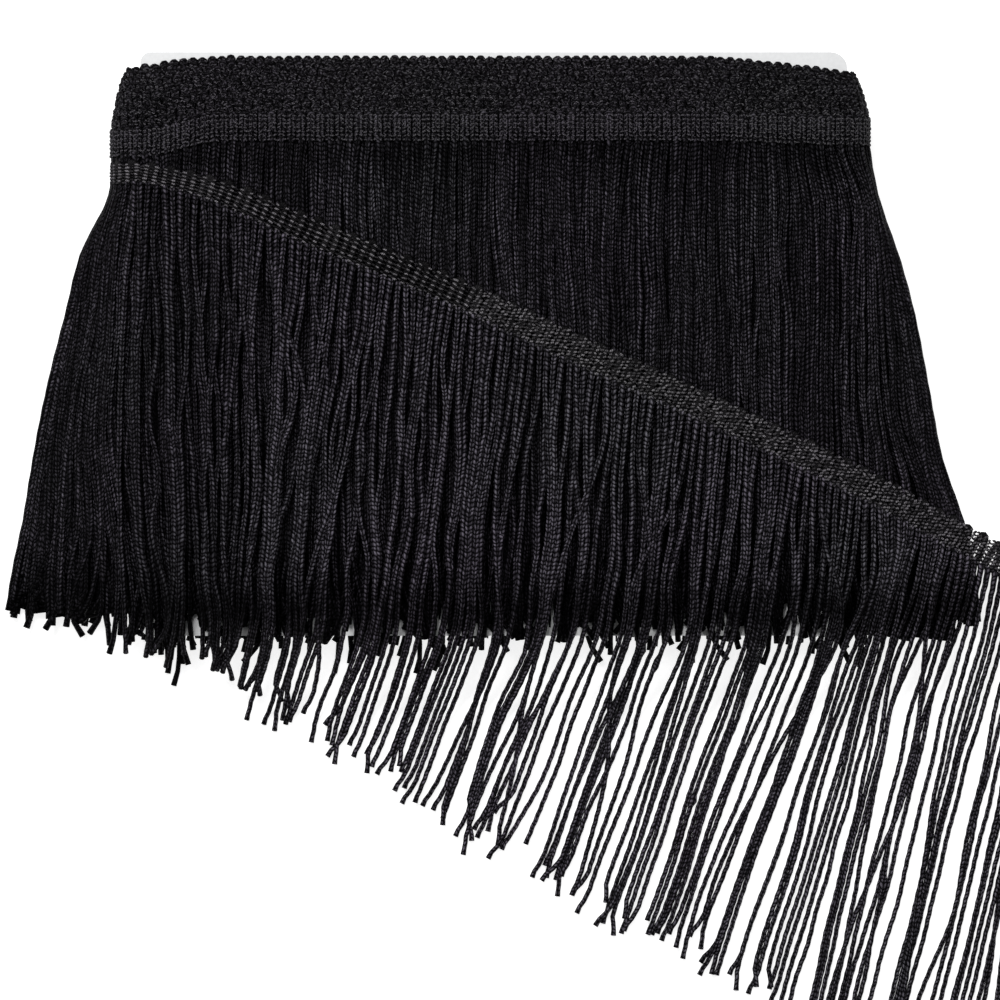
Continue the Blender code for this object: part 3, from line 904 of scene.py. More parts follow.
class LinkStyle(NamedTuple):
    """One kind of chain link, how it is laid in rows and how irregular it is."""

    rows: int
    length: float = 1.5 * MM
    width: float = 0.78 * MM
    height: float = 0.5 * MM
    first_row: float = 1.0 * MM
    row_step: float = 1.22 * MM
    lift: float = 0.42 * MM
    dip: float = 0.4 * MM
    slant: float = 0.1
    slant_spread: float = 0.16
    scatter: float = 0.1 * MM
    stagger: float = 0.0
    chevron: float = 0.0
    dullest: float = 0.35
    brightest: float = 1.0
    sides: int = 6


@dataclass(frozen=True)
class HeadingKnit:
    """How the heading is knitted: cords that turn at its upper edge, and chain links over them."""

    column: float
    cord_width: float = 1.45 * MM
    cord_height: float = 0.62 * MM
    arc_width: float = 1.6 * MM
    arc_share: float = 0.9
    wide_arcs: bool = False
    top_rise: float = 0.62 * MM
    loop_rise: float = 0.13 * MM
    rise_spread: float = 0.8
    arc_scatter: float = 0.1 * MM
    arc_lift: float = 0.05 * MM
    arc_points: int = 5
    leg_points: int = 1

    def columns(self, length: float) -> Array:
        """Return the places of the cords along a strip, an even number of them."""
        count = int(length / self.column) // 2 * 2
        return (np.arange(count) + 0.5) * length / count

    def cords(self, path: StripPath, at: Array, depth: float, tones: tuple[float, float],
              chance: YarnChance) -> MeshParts:
        """Return the cords: each goes up, turns over at the top and comes down again beside itself.

        Wide arcs join two columns, and narrow ones the two halves of one column. The arc is a
        half ellipse, narrower than its legs are apart, so it closes to a bump.

        Args:
            path: The strip.
            at: Places of the columns, in pairs.
            depth: How far down the legs reach.
            tones: Brightness of the dullest and the brightest cord.
            chance: Source of the irregularities.

        Returns:
            The mesh.
        """
        legs_at = at if self.wide_arcs else self.halves(at)
        first, second = legs_at[0::2, None], legs_at[1::2, None]
        count, half = len(first), 0.5 * self.arc_share * (second - first)
        turn = np.linspace(0, math.pi, self.arc_points)
        rise = self.loop_rise * (1 + chance.normal(count, self.rise_spread))
        low = 0.5 * self.arc_width + self.loop_rise - self.top_rise
        legs = np.linspace(depth, low, self.leg_points + 1)[:-1]
        none = 0 * legs
        along = np.concatenate([first + none, 0.5 * (first + second) - half * np.cos(turn), second + none], axis=1)
        across = np.concatenate([0 * first + legs, low - rise * np.sin(turn), 0 * first + legs[::-1]], axis=1)
        over = (across < low + 0.1 * MM) * 1.0
        along = along + chance.normal(count, self.arc_scatter) * over
        lift = (self.arc_lift + chance.normal(count, self.arc_lift)) * over
        tones = chance.even(count, *tones) + 0 * over
        wide = 0.5 * (self.cord_width + (self.arc_width - self.cord_width) * over)
        high = 0.5 * self.cord_height * (1 + 0.15 * over)
        return sweep(path.place(along, across, lift), path.read(path.face, along), wide, high, 6, tones,
                     chance.even(count))

    def links(self, path: StripPath, at: Array, style: LinkStyle, chance: YarnChance) -> MeshParts:
        """Return the chain links: a spindle at every place in every row, dipping at its ends."""
        number, row = (v.ravel()[:, None] for v in np.indices((len(at), style.rows)))
        count, odd = len(number), number % 2
        t = np.array([-1.0, -0.45, 0.45, 1.0])
        grown = 1 + chance.normal(count, 0.12)
        slant = style.slant + chance.normal(count, style.slant_spread) + style.chevron * (2 * odd - 1)
        half = 0.5 * style.length * grown / np.hypot(1, slant)
        column = at[number] + chance.normal(count, style.scatter)
        down = style.first_row + style.row_step * (row + style.stagger * odd)
        down = down + chance.normal(count, 0.7 * style.scatter)
        lift = style.lift + chance.normal(count, 0.05 * MM) - style.dip * t**2
        full = np.sqrt(1 - t**2)
        wide = 0.5 * style.width * np.sqrt(grown) * (0.35 + 0.65 * full)
        high = 0.5 * style.height * (0.5 + 0.5 * full)
        along = column + half * t
        faces = path.read(path.face, column) + 0 * along[..., None]
        tones = style.dullest + (style.brightest - style.dullest) * chance.even(count) ** 1.2
        # Painted shade: each link's tone falls towards its ends, where it dips into the knit, and to its flanks.
        return sweep(path.place(along, down + half * slant * t, lift), faces, wide, high, style.sides,
                     tones * (0.6 + 0.4 * full), chance.even(count), 0.2)

    def gaps(self, at: Array) -> Array:
        """Return the places midway between neighbouring columns."""
        return 0.5 * (at[:-1] + at[1:])

    def halves(self, at: Array) -> Array:
        """Return two places over every column, a quarter of a column to either side of it."""
        return (at[:, None] + 0.25 * self.column * np.array([-1, 1])).ravel()


# ---- sub-assemblies


def dress(piece: bpy.types.Object, slot: str, *nodes: str) -> None:
    """Let a piece ride on the trim, take its slot and stand for the model's nodes."""
    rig.ride(piece, "root")
    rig.slot(piece, slot)
    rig.replaces(piece, *nodes)


@dataclass
class WindingCard:
    """The white card, which keeps its solid and takes the board finish."""

    finish: BoardFinish

    def build(self) -> None:
        """Put the board finish on the card's solid."""
        card = bpy.data.objects["card"]
        card.data.materials.clear()
        card.data.materials.append(self.finish.material())
        log.info("card: board finish")


@dataclass
class WoundHeading:
    """Ten turns of heading in one spiral round the card, each below the last."""

    winding: Winding
    path: SpiralPath
    knit: HeadingKnit
    finish: YarnFinish
    cord_finish: YarnFinish
    band_thickness: float = 0.2 * MM
    band_margin: float = 0.3 * MM
    band_sink: float = 0.22 * MM
    inner_depth: float = 4.2 * MM
    last_front: float = -0.3
    outer_links = LinkStyle(
        7, length=1.22 * MM, width=0.66 * MM, first_row=0.75 * MM, row_step=1.2 * MM, slant=0, slant_spread=0.35,
        scatter=0.15 * MM, chevron=0.4, dullest=0.46, brightest=0.74)
    front_links = LinkStyle(
        3, length=1.15 * MM, width=0.62 * MM, first_row=0.4 * MM, row_step=0.66 * MM, slant=0, slant_spread=0.8,
        scatter=0.3 * MM, stagger=0.5, dullest=0.2, sides=4)
    outer_cord_tones = (0.2, 0.45)
    inner_cord_tones = (0.08, 0.24)
    back_links = LinkStyle(1, slant_spread=0.4, scatter=0.25 * MM, sides=4)
    seed: int = 3

    def build(self) -> None:
        """Make the band with its cords and links, in full on the outer turn and at the strips that show."""
        chance, w, path, knit = YarnChance(self.seed), self.winding, self.path, self.knit
        at = knit.columns(path.along[-1])
        lap = path.along[path.ring[:, 3] >= w.turns - 1][0]
        outer = at >= lap - knit.column
        outer[1::2] = outer[0::2]
        front = np.interp(at, path.along, path.ring[:, 1]) > self.last_front
        yarn, cord = self.finish.material(), self.cord_finish.material()
        cords = MeshParts.joined(
            knit.cords(path, at[~outer], self.inner_depth, self.inner_cord_tones, chance),
            knit.cords(path, at[outer], w.heading_width, self.outer_cord_tones, chance))
        inner_links = MeshParts.joined(
            knit.links(path, knit.halves(at[~outer & front]), self.front_links, chance),
            knit.links(path, at[~outer & ~front], self.back_links, chance))
        outer_links = knit.links(path, knit.halves(at[outer]), self.outer_links, chance)
        for part, parts, material in (("cords", cords, cord), ("inner_links", inner_links, yarn),
                                      ("outer_links", outer_links, yarn), ("band", self.band(), cord)):
            piece = parts.piece("wound_heading_" + part, material, w.plan_centre)
            dress(piece, "black_heading_yarn", "wound_heading")

    def band(self) -> MeshParts:
        """Return the thin ground of the heading, a flat band along the whole spiral."""
        path, half = self.path, 0.5 * self.winding.heading_width
        middle = path.place(path.along, 0 * path.along + half + self.band_margin, -self.band_sink)
        return sweep(middle[None], path.face[None], half - self.band_margin, 0.5 * self.band_thickness, 4,
                     np.full((1, len(middle)), 0.1))


@dataclass
class WoundFringe:
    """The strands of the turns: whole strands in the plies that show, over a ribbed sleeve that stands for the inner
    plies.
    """

    winding: Winding
    path: SpiralPath
    knit: HeadingKnit
    cord: StrandCord
    finish: YarnFinish
    front_plies: int = 5
    edge_plies: int = 10
    back_plies: int = 2
    points: int = 37
    strand_length: float = 151.5 * MM
    odd_length: float = 8 * MM
    odd_share: float = 0.03
    last_facing: float = -0.6
    last_beside: float = -1.5
    left_take_up: float = 0.075
    right_take_up: float = 0.034
    edge_evening: float = 0.9
    edge_swell: float = 0.28
    fan_start: float = 6 * MM
    fan_share: float = 0.1
    fan_fullness: float = 1.15
    root_inset: float = 1.4 * MM
    leave_length: float = 7 * MM
    settle_length: float = 24 * MM
    left_slip: float = 1 * MM
    right_slip: float = 8 * MM
    right_slip_start: float = 33 * MM
    right_spread: float = 7 * MM
    spread_inside: Bell = Bell(12 * MM, 9 * MM)
    spread_down: Ramp = Ramp(-17 * MM, -33 * MM)
    corner_spread: float = 2.8 * MM
    corner_down: Ramp = Ramp(-30 * MM, -32 * MM)
    left_corner: float = 22 * MM
    left_fan_darkening: float = 0.6
    tones = (0.19, 0.54)
    root_shade: Ramp = Ramp(0, 0.14)
    tip_shade: Ramp = Ramp(0.84, 0.11)
    sleeve_end: float = -84 * MM
    sleeve_rib: float = 0.35 * MM
    waves = ((31 * MM, 0.7 * MM, 1.2), (57 * MM, 0.9 * MM, -1.6))
    wander = (0.9 * MM, 0.75 * MM)
    root_scatter: float = 0.6 * MM
    stray_size: float = 4.5 * MM
    tip_hook: float = 2.4 * MM
    low_hook: float = 3 * MM
    low_hook_start: float = 0.74
    edge_softness: float = 1 * MM
    least_thickness: float = 0.5 * MM
    sleeve_furrow: float = 7 * MM
    left_sleeve_lift: float = 8 * MM
    right_sleeve_lift: float = 5 * MM
    seed: int = 11

    def fan(self, side: Array, inside: Array, angle: Array) -> tuple[Array, Array]:
        """Return each strand's share of the skirt's growing reach, and how far it slips outwards.

        Round the edge the share rises evenly with the angle, up to the last strand that faces
        forward, and falls again behind. At the right the slip reaches well inside the edge.

        Args:
            side: -1 at the left and 1 at the right.
            inside: Distance from the card's edge to the root, negative round the edge.
            angle: Angle of the root round the edge.

        Returns:
            The shares and the slips in metres.
        """
        facing = np.clip((QUARTER - angle) / (QUARTER - self.last_facing), 0, 1)
        behind = np.clip((self.last_facing - angle) / (self.last_facing + QUARTER), 0, 1)
        facing = np.where(inside > 0, 0, facing)
        near = smoothstep(1 - inside / self.fan_start)
        share = self.fan_share * near + (self.fan_fullness - self.fan_share) * facing * (1 - 0.7 * behind)
        right_slip = self.right_slip * np.clip(1 - inside / self.right_slip_start, 0, 1) ** 1.3
        return share, np.where(side < 0, self.left_slip * near, right_slip * (1 - 0.8 * facing))

    def late_shift(self, x: Array, y: Array, side: Array, limit: Array) -> Array:
        """Return the outward shift low in the skirt: inwards at the left corner, outwards at the right."""
        right = self.right_spread * self.spread_inside.at(limit - x) * self.spread_down.at(y)
        return np.where(side < 0, -self.winding.corner_drift(-x, y), right)

    def strands(self, chosen: Array, chance: YarnChance) -> tuple[Array, Array, Array, Array]:
        """Return the middle lines, tones, twists and fullness of one layer of strands.

        A strand hangs from its column of the heading. Near the card's edge it slips outwards
        below the heading and then keeps its share of the skirt's reach; its height follows
        the skirt's face or back, at the depth of its ply.

        Args:
            chosen: Places of the strands' columns along the spiral.
            chance: Source of the irregularities.

        Returns:
            Paths, strands x points x 3, and the rest, strands x points.
        """
        w, width = self.winding, self.cord.width
        count, share = len(chosen), np.linspace(0, 1, self.points)
        root = self.path.place(chosen, 0 * chosen + w.heading_width - self.root_inset, 0)
        ring = self.path.read(self.path.ring, chosen)
        place, root_y, root_z = root[:, :1], root[:, 1:2], root[:, 2:]
        side, root_x = np.sign(place), np.abs(place)
        ply = w.turns - 1 - ring[:, 3:]
        fan, slip = self.fan(side, w.half_width - root_x, ring[:, 1:2])
        fanned = np.minimum(fan, 1)
        length = self.strand_length * (1 + chance.normal(count, 0.014))
        length = length + self.odd_length * (chance.even(count) < self.odd_share)
        outer_y = w.heading_top(side, w.turns - 1) - w.heading_width
        length = length * (1 - np.where(side < 0, self.left_take_up, self.right_take_up) * fanned)
        length = length + self.edge_evening * fanned * (root_y - outer_y)
        shift = chance.gather(root[:, 0], share, 8, 0.65, 0.9 * width, 3)
        shift = shift + chance.normal(count, self.root_scatter) * smoothstep(share * 12)
        shift = shift + chance.sway(root[:, 0], share, self.waves)
        shift = shift + chance.wander(count, share, *self.wander) * (1 + fanned)
        shift = chance.spaced(place + shift, 0.7 * width) - place
        shift = shift + chance.strays(count, share, 0.1 + 0.35 * fanned, self.stray_size)
        shift = shift + chance.hooks(count, share, self.tip_hook)
        shift = shift + chance.hooks(count, share, self.low_hook, self.low_hook_start)
        edge_loose = (chance.even(count, 0, 2.6) - 0.9) * MM * smoothstep(share / 0.3)
        settle = smoothstep(length * share / self.settle_length)
        depth = 0.6 * ply + settle * chance.weave(count, share)

        def lay(down: Array) -> tuple[Array, Array, Array]:
            """Return X, Y and Z at distances down from the roots."""
            y = root_y - down
            reach = w.reach(place, y)
            grown = np.maximum(reach - w.reach(place, root_y), 0)
            loosened = self.corner_spread * self.corner_down.at(y) * (side > 0)
            limit = w.half_width + reach + loosened - 0.5 * self.cord.height - edge_loose
            x = root_x + slip * settle + grown * fan
            x = x + self.late_shift(x, y, side, limit) + side * shift
            x = side * soft_limit(x, limit, self.edge_softness)
            return x, y, self.height(x, y, ring[:, 1:2] > 0, depth)

        paths = self.cord.laid(length, share, root_z, self.leave_length, lay)
        # Painted shade: darker near the root under the heading and towards the tips, where the skirt falls away.
        shade = (0.5 + 0.5 * self.root_shade.at(share)) * (1 - 0.7 * self.tip_shade.at(share))
        # Strands fanned round the left edge are made darker.
        shade = shade * (1 - self.left_fan_darkening * (side < 0) * fanned)
        tones = chance.tones(count, share, *self.tones) * shade
        return paths, tones, chance.twist(count, share), 1 + self.edge_swell * fanned * smoothstep(share * 2)

    def height(self, x: Array, y: Array, front: Array, ply: Array) -> Array:
        """Return the height of a strand's middle: the ply's depth below the face or above the back."""
        w = self.winding
        face, back = w.front(x, y), w.back(x, y)
        thickness = np.maximum(face - back, self.least_thickness)
        depth = (ply * w.turn_thickness + 0.55 * self.cord.height) * np.minimum(thickness / w.section(y, "top"), 1)
        return np.where(front, face - depth, back + depth)

    def build(self) -> None:
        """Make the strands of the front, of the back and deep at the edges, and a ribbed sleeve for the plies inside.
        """
        w, chance, material = self.winding, YarnChance(self.seed), self.finish.material()
        columns = self.knit.columns(self.path.along[-1])
        at = np.concatenate([columns, self.knit.gaps(columns)])
        own = np.arange(len(at)) < len(columns)
        across, angle, _, turn = self.path.read(self.path.ring, at).T
        ply, facing, left = w.turns - 1 - turn, angle > self.last_facing, across < 0
        inside = w.half_width * (1 - np.abs(across))
        beside = (angle > self.last_beside) & (inside < np.where(left, self.left_corner, self.fan_start))
        deep = own & beside & (ply > 1.5) & (~facing | (ply > self.front_plies - 0.5))
        between = ~own & facing & left & (inside < self.fan_start)
        flat_cord = replace(self.cord, sides=4)
        # Each layer holds the strands whose ply is between one bound and the next.
        for name, kept, bounds, cord in (
                ("front_strands", own & facing, (-0.5, 1.5, 3.5, self.front_plies - 0.5), self.cord),
                ("edge_strands", deep | between, (-0.5, 3.5, 6.5, self.edge_plies - 0.5), self.cord),
                ("back_strands", own & ~facing, (-0.5, self.back_plies - 0.5), flat_cord)):
            layers = []
            for above, below in zip(bounds[:-1], bounds[1:]):
                chosen = at[kept & (ply >= above) & (ply < below)]
                order = np.argsort(self.path.read(self.path.edge, chosen)[:, 0])
                layers.append(self.strands(chosen[order], chance))
            bundle = cord.bundle(*map(np.concatenate, zip(*layers)))
            dress(bundle.piece(name, material, w.plan_centre), "black_chainette", "wound_fringe")
        packed = self.packed_plies().piece("packed_inner_plies", material, w.plan_centre)
        dress(packed, "black_chainette", "wound_fringe")

    def packed_plies(self) -> MeshParts:
        """Return the hidden inner plies as one ribbed sleeve round the card.

        Its section is the wound fringe's own, taken in by three plies, with a rib for every
        strand and ragged ends. Rings of points go down it outside and come back up inside.
        """
        w = self.winding
        inset = (self.front_plies - 1.8) * w.turn_thickness + 0.5 * MM
        columns = int(12 * w.half_width / w.column)
        across, angle, side = lap_round(np.linspace(-1, 1, columns + 1), 59)
        number, out = np.arange(len(across)), np.cos(angle)
        rib = self.sleeve_rib * np.abs(np.sin(math.pi * number / 3))
        uneven = np.random.default_rng(self.seed + 5).uniform(-6, 6, len(across) // 3 + 1)[number // 3] * MM
        uneven = uneven * np.where(np.abs(across) > 0.9, 1.8, 1)
        furrow = np.where(number % 3 == 0, self.sleeve_furrow, 0)
        lifted = np.where(across < 0, self.left_sleeve_lift, self.right_sleeve_lift) * Ramp(0.8, 0.2).at(np.abs(across))
        tip = self.sleeve_end + lifted + uneven + furrow
        shoulder, throat = (w.heading_top(across, turn) - w.heading_width - 1 * MM for turn in (w.turns - 4, 0))
        rows = []
        for share in np.linspace(0, 1, 18):
            y = shoulder + (tip - shoulder) * share
            x = across * w.half_width + side * np.maximum(w.reach(across, y) - 1.2 * inset, 2 * MM) * out
            front, back = w.front(x, y), w.back(x, y)
            middle = 0.5 * (front + back)
            top, bottom = np.maximum(front - inset + rib, middle), np.minimum(back + inset - rib, middle)
            z = middle + np.where(angle > 0, top - middle, middle - bottom) * np.sin(angle)
            rows.append(np.stack([x, y, np.maximum(z, 1.2 * MM)], axis=1))
        inner_x = across * (w.half_width + 0.2 * MM) + side * 0.6 * MM * out
        inner_z = w.centre[2] + (w.half_slot - 0.1 * MM) * np.sin(angle)
        rows += [np.stack([inner_x, y, inner_z], axis=1) for y in (tip + 4 * MM, throat)]
        grid = np.stack(rows)
        count, ring = grid.shape[:2]
        index = np.arange(count * ring).reshape(count, ring)
        beside, below = np.roll(index, -1, axis=1), np.roll(index, -1, axis=0)
        quads = np.stack([index, below, np.roll(below, -1, axis=1), beside], axis=-1).reshape(-1, 4)
        uv = np.stack([np.broadcast_to(number / 6, (count, ring)), -grid[:, :, 1]], axis=2).reshape(-1, 2)
        # The sleeve's tone is kept very low: painted deep shade among the hidden plies.
        return MeshParts(grid.reshape(-1, 3), quads, uv[quads.ravel()], np.full(count * ring, 0.05))


@dataclass
class LooseHeading:
    """The loose end's heading: round the left edge, across the front and down to the table."""

    winding: Winding
    path: StripPath
    knit: HeadingKnit
    finish: YarnFinish
    even_share: float = 0.36
    even_links = LinkStyle(
        6, length=1.6 * MM, width=0.72 * MM, first_row=1.15 * MM, row_step=1.4 * MM, slant_spread=0.14,
        scatter=0.09 * MM, dullest=0.4, brightest=0.9)
    fine_links = LinkStyle(
        8, length=1.25 * MM, width=0.8 * MM, slant=-0.6, slant_spread=0.45, stagger=0.5, first_row=0.55 * MM,
        row_step=1.08 * MM, lift=0.46 * MM, scatter=0.17 * MM, dullest=0.15, brightest=0.9)
    # The ground's bridges and cords are kept near black: painted shade in the gaps between the links.
    bridges = LinkStyle(
        7, length=1.4 * MM, width=0.66 * MM, height=0.4 * MM, first_row=1.6 * MM, lift=0.1 * MM, dip=0.05 * MM,
        dullest=0.05, brightest=0.2)
    cord_tones = (0.02, 0.06)
    seed: int = 5

    def build(self) -> None:
        """Make the knit's ground of cords and bridges, and the links over it: even at first, then finer."""
        chance, w, path, knit = YarnChance(self.seed), self.winding, self.path, self.knit
        at = knit.columns(path.along[-1])
        even = at < self.even_share * path.along[-1]
        ground = MeshParts.joined(knit.cords(path, at, w.loose_width, self.cord_tones, chance),
                                  knit.links(path, knit.gaps(at), self.bridges, chance))
        links = MeshParts.joined(knit.links(path, at[even], self.even_links, chance),
                                 knit.links(path, knit.halves(at[~even]), self.fine_links, chance))
        material = self.finish.material()
        for name, parts in (("loose_heading_ground", ground), ("loose_heading_links", links)):
            dress(parts.piece(name, material, w.plan_centre), "black_heading_yarn", "loose_heading")


@dataclass
class LooseFringe:
    """The loose end's strands, draped over the winding and free on the table below it."""

    winding: Winding
    path: StripPath
    wrap_length: float
    knit: HeadingKnit
    cord: StrandCord
    finish: YarnFinish
    strand_length: float = 142.5 * MM
    length_growth: float = 15.5 * MM
    growth_across: tuple[float, float] = (-91 * MM, 62 * MM)
    wrap_take_up: float = 0.085
    draped_slope: float = 0.09
    laid_slope: float = 0.26
    laid_slope_growth: float = 0.11
    free_slope: float = 0.25
    bend_top: float = -76 * MM
    bend_run: float = 22 * MM
    free_across: Ramp = Ramp(100 * MM, 30 * MM)
    draped_across: Ramp = Ramp(-80 * MM, 30 * MM)
    pressed_swell: float = 0.24
    root_inset: float = 1.2 * MM
    leave_length: float = 6 * MM
    tones = (0.54, 0.8)
    pressed: Ramp = Ramp(-88 * MM, 20 * MM)
    drop_shade: Bell = Bell(-79 * MM, 9 * MM)
    nub_length: float = 1.3 * MM
    pitch: float = 2.45 * MM
    points: int = 80
    nubs: int = 9
    waves = ((29 * MM, 1 * MM, 2.6), (61 * MM, 1.2 * MM, -1.4))
    wander = (3 * MM, 0.8 * MM)
    stray_share: float = 0.36
    stray_size: float = 5 * MM
    tip_hook: float = 1.6 * MM
    laid_run: float = 6 * MM
    table_run: float = 20 * MM
    seed: int = 23

    def lateral(self, x: Array, y: Array, top: Array, turn: Array) -> Array:
        """Return how far left a strand has gone at each Y.

        It leans a little while it lies on the winding, bends below its bend's top and then
        keeps one slope on the table: the integral of a smooth step, t^3 - t^4 / 2 within the
        bend and t - 1/2 past it.

        Args:
            x: X of the root.
            y: Y along the strand.
            top: Y of the root.
            turn: Place along the heading from 0 at the left to 1.

        Returns:
            The distance in metres.
        """
        free = self.free_across.at(x)
        run = self.bend_run * (1 - 0.75 * free)
        t = np.maximum((blend(self.bend_top, top, free) - y) / run, 0)
        bent = run * np.where(t < 1, t**3 - 0.5 * t**4, t - 0.5)
        slope = blend(self.laid_slope + self.laid_slope_growth * smoothstep(2 * turn), self.free_slope, free)
        draped = self.draped_slope * (1 - free) * self.draped_across.at(x)
        return draped * (top - y) + (slope - draped) * bent

    def build(self) -> None:
        """Make the strands from the heading's lower edge, draped over the winding and laid on the table.

        Strands that start round the edge of the winding follow the edge of the wound fringe
        instead. Every strand is fitted to its own length.
        """
        w, chance, width = self.winding, YarnChance(self.seed), self.cord.width
        at = np.arange(0.5 * self.pitch, self.path.along[-1], self.pitch)
        count, share = len(at), np.linspace(0, 1, self.points)
        root = self.path.place(at, 0 * at + w.loose_width - self.root_inset, 0)
        laid = Ramp(self.wrap_length - self.laid_run, self.laid_run).at(at[:, None])
        root_x, root_y, root_z = root[:, :1], root[:, 1:2], root[:, 2:]
        start, end = self.growth_across
        turn = np.clip((root_x - start) / (end - start), 0, 1)
        length = self.strand_length + self.length_growth * smoothstep(0.8 * turn)
        length = length * (1 + chance.normal(count, 0.018)) * (1 - self.wrap_take_up * (1 - laid))
        on_table = Ramp(root_y - self.bend_top - 6 * MM, self.table_run).at(length * share)
        draped = chance.gather(at, share, 8, 0.6, 1.1 * width, 3)
        shift = blend(draped, chance.gather(at, share, 7, 0.45, width, 2.1), on_table)
        shift = shift + chance.sway(at, share, self.waves) * (1 - 0.5 * on_table)
        shift = shift + chance.wander(count, share, *self.wander)
        apart = blend(1, chance.even(count, 0.45, 1.75), on_table)
        shift = chance.spaced(root_x + shift, apart * width) - root_x
        shift = shift + chance.strays(count, share, self.stray_share, self.stray_size)
        shift = shift + chance.hooks(count, share, self.tip_hook)
        radius = 0.5 * self.cord.height
        layer = chance.even(count, 0, 1.2) * MM

        def lay(down: Array) -> tuple[Array, Array, Array]:
            """Return X, Y and Z at distances down from the roots."""
            y = root_y - down
            x = root_x - self.lateral(root_x, y, root_y, turn) + shift + 0.5 * w.corner_drift(root_x, y)
            reach = w.reach(root_x, y)
            edge_x = root_x - np.maximum(reach - w.reach(root_x, root_y), 0) + 0.5 * shift
            x = blend(np.maximum(edge_x, -w.half_width - reach + radius), x, laid)
            z = blend(0.5 * (w.front(x, y) + w.back(x, y)), w.drape(x, y) + radius, laid)
            return x, y, z + layer * smoothstep(share * 6)

        paths = self.cord.laid(length, share, root_z, self.leave_length, lay)
        y = paths[:, :, 1]
        swell = 1 + self.pressed_swell * self.pressed.at(y)
        strand, spot = chance.random.integers(0, count, self.nubs), chance.even(self.nubs, 0.35, 0.8)
        np.add.at(swell, strand, 0.8 * Bell(0, self.nub_length).at((share - spot) * length[strand]))
        # Painted shade: strands are darker where they drop from the winding to the table; the tone also falls at the
        # far left and rises a little to the right.
        drop_shade = chance.even(count, 0.35, 0.9) * self.drop_shade.at(y)
        tones = (1 + 0.12 * turn) * chance.tones(count, share, *self.tones)
        tones = tones * (1 - drop_shade) * (0.6 + 0.4 * smoothstep(4 * turn))
        bundle = self.cord.bundle(paths, tones, chance.twist(count, share), swell)
        piece = bundle.piece("loose_strands", self.finish.material(), w.plan_centre)
        dress(piece, "black_chainette", "loose_fringe")


# ---- studio


@dataclass(frozen=True)
class SoftLight:
    """A square soft box that looks at the trim."""

    name: str
    direction: Triple
    distance: float
    size: float
    power: float

    def build(self, target: Array) -> None:
        """Hang the light along its direction from the target."""
        data = bpy.data.lights.new(self.name, "AREA")
        data.shape, data.size, data.energy = "SQUARE", self.size, self.power
        lamp = bpy.data.objects.new(self.name, data)
        away = unit(np.array(self.direction))
        lamp.location = target + away * self.distance
        lamp.rotation_euler = Vector(away).to_track_quat("Z", "Y").to_euler()
        bpy.context.scene.collection.objects.link(lamp)


@dataclass(frozen=True)
class Studio:
    """White table, soft light and a camera that looks straight down."""

    target: Triple
    view_width: float = 0.300
    lens: float = 200.0
    sensor: float = 36.0
    table_size: float = 6.0
    world_light: float = 0.2
    lights = (SoftLight("key_light", (-0.35, 0.75, 1.0), 1.3, 0.6, 17.0),
              SoftLight("fill_light", (0.7, 0.2, 1.2), 1.6, 1.0, 5.0))

    def build(self) -> None:
        """Make the table, the lights and the camera."""
        target = np.array(self.target)
        bpy.ops.mesh.primitive_plane_add(size=self.table_size, location=(target[0], target[1], 0))
        table = bpy.context.object
        table.name = "white_table"
        table.data.materials.append(self.table_finish())
        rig.stage(table)
        for light in self.lights:
            light.build(target)
        scene, world = bpy.context.scene, bpy.data.worlds.new("white_studio")
        world.use_nodes = True
        background = world.node_tree.nodes["Background"]
        background.inputs["Color"].default_value = (1.0, 1.0, 1.0, 1.0)
        background.inputs["Strength"].default_value = self.world_light
        scene.world = world
        scene.view_settings.view_transform = "Standard"
        data = bpy.data.cameras.new("overhead_camera")
        data.lens, data.sensor_width, data.clip_end = self.lens, self.sensor, 20
        camera = bpy.data.objects.new("overhead_camera", data)
        camera.location = target + UP * (self.view_width * self.lens / self.sensor)
        scene.collection.objects.link(camera)
        scene.camera = camera
        log.info("studio: camera at %.3f m", camera.location.z)

    @staticmethod
    def table_finish() -> Material:
        """Return the matt white of the table, lit a little from within."""
        return Nodes("white_table", {"Base Color": (0.6, 0.6, 0.6), "Roughness": 0.9,
                                     "Emission Color": (1.0, 1.0, 1.0), "Emission Strength": 0.8}).material


# ---- assembly


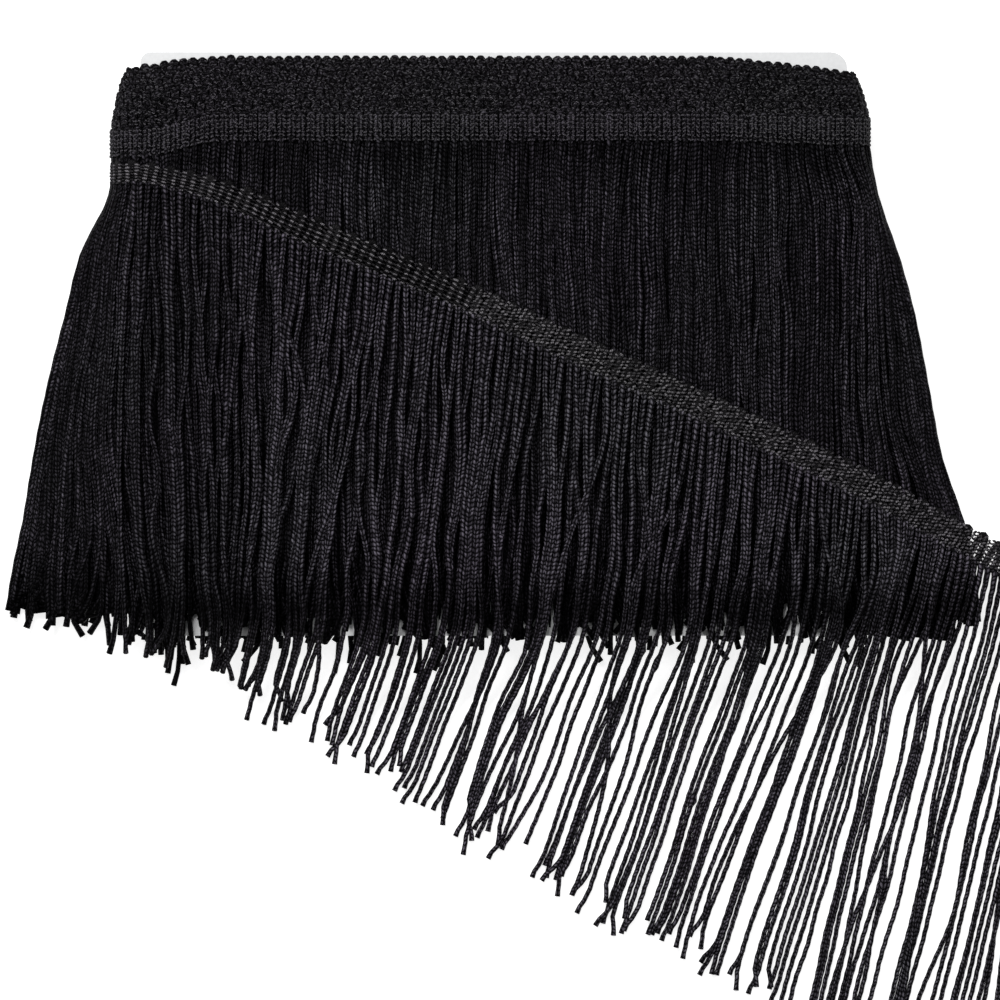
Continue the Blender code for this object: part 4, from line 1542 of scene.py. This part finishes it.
def declare_sheets(winding: Winding, spiral: SpiralPath, loose: StripPath) -> None:
    """Say which pieces are cloth: the two lengths of heading, with the yarn and strands on them.

    Both are one narrow band, so each is cut to its own length and is as wide as a heading.
    """
    def flat(width: float, length: float) -> dict:
        """Return the flat size and area of a band, whose stated sides are 10 mm at least."""
        return {"flat": (max(width, 10.0 * MM), length), "area": width * length}

    pieces = bpy.data.objects
    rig.sheet(pieces["wound_heading_band"], held="laid", rests_on=["card"],
             with_pieces=[pieces[name] for name in ("wound_heading_cords", "wound_heading_inner_links",
                                                    "wound_heading_outer_links", "front_strands", "edge_strands",
                                                    "back_strands", "packed_inner_plies")],
             **flat(winding.heading_width, float(spiral.along[-1])))
    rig.sheet(pieces["loose_heading_ground"], held="draped", rests_on=["front_strands"],
             with_pieces=[pieces["loose_heading_links"], pieces["loose_strands"]],
             **flat(winding.loose_width, float(loose.along[-1])))


def winding_from_frame() -> Winding:
    """Return the winding's sizes, centred on the card of the loaded model."""
    low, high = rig.box("card")
    centre = tuple((a + b) / 2.0 for a, b in zip(low, high))
    return Winding(centre=centre, half_width=(high[0] - low[0]) / 2.0, card_thickness=high[2] - low[2])


def write_sizes() -> None:
    """Write the box of the loaded model and of the dressed one."""
    boxes = {"cad": [list(corner) for corner in MODEL_BOX], "visual": [list(corner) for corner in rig.bounds()]}
    with open("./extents.json", "w") as file:
        json.dump(boxes, file)


def main() -> None:
    """Build and dress every sub-assembly, then the studio."""
    logging.basicConfig(level=logging.INFO, format="%(name)s: %(message)s")
    winding = winding_from_frame()
    spiral = winding.spiral()
    loose, wrap_length = winding.loose_path()
    knit = HeadingKnit(winding.column)
    loose_knit = HeadingKnit(winding.column, wide_arcs=True, leg_points=2, cord_width=2.4 * MM, arc_width=2 * MM,
                             arc_share=0.62, loop_rise=0.9 * MM, rise_spread=0.15)
    cord = StrandCord()
    loose_cord = StrandCord(width=1.42 * MM, height=1.25 * MM, root_swell=0.1, flank=0.75)
    link = YarnFinish("heading_yarn", Stitch.LINK, (0.135, 0.118, 0.148), (0.124, 0.126, 0.126))
    # Painted light: the loose heading takes a brighter copy of the heading yarn.
    lit_loose_link = YarnFinish("loose_heading_yarn", Stitch.LINK, (0.250, 0.226, 0.262), (0.232, 0.232, 0.232))
    chain = YarnFinish("chainette_yarn", Stitch.CHAIN, (0.128, 0.103, 0.144), (0.106, 0.110, 0.118), contrast=1.8)
    WindingCard(BoardFinish()).build()
    WoundHeading(winding, spiral, knit, link, chain).build()
    WoundFringe(winding, spiral, knit, cord, chain).build()
    LooseHeading(winding, loose, loose_knit, lit_loose_link).build()
    LooseFringe(winding, loose, wrap_length, knit, loose_cord, chain).build()
    declare_sheets(winding, spiral, loose)
    x, y, z = winding.centre
    Studio((x + VIEW_X, y + VIEW_Y, z)).build()
    write_sizes()


if __name__ == "__main__":
    main()
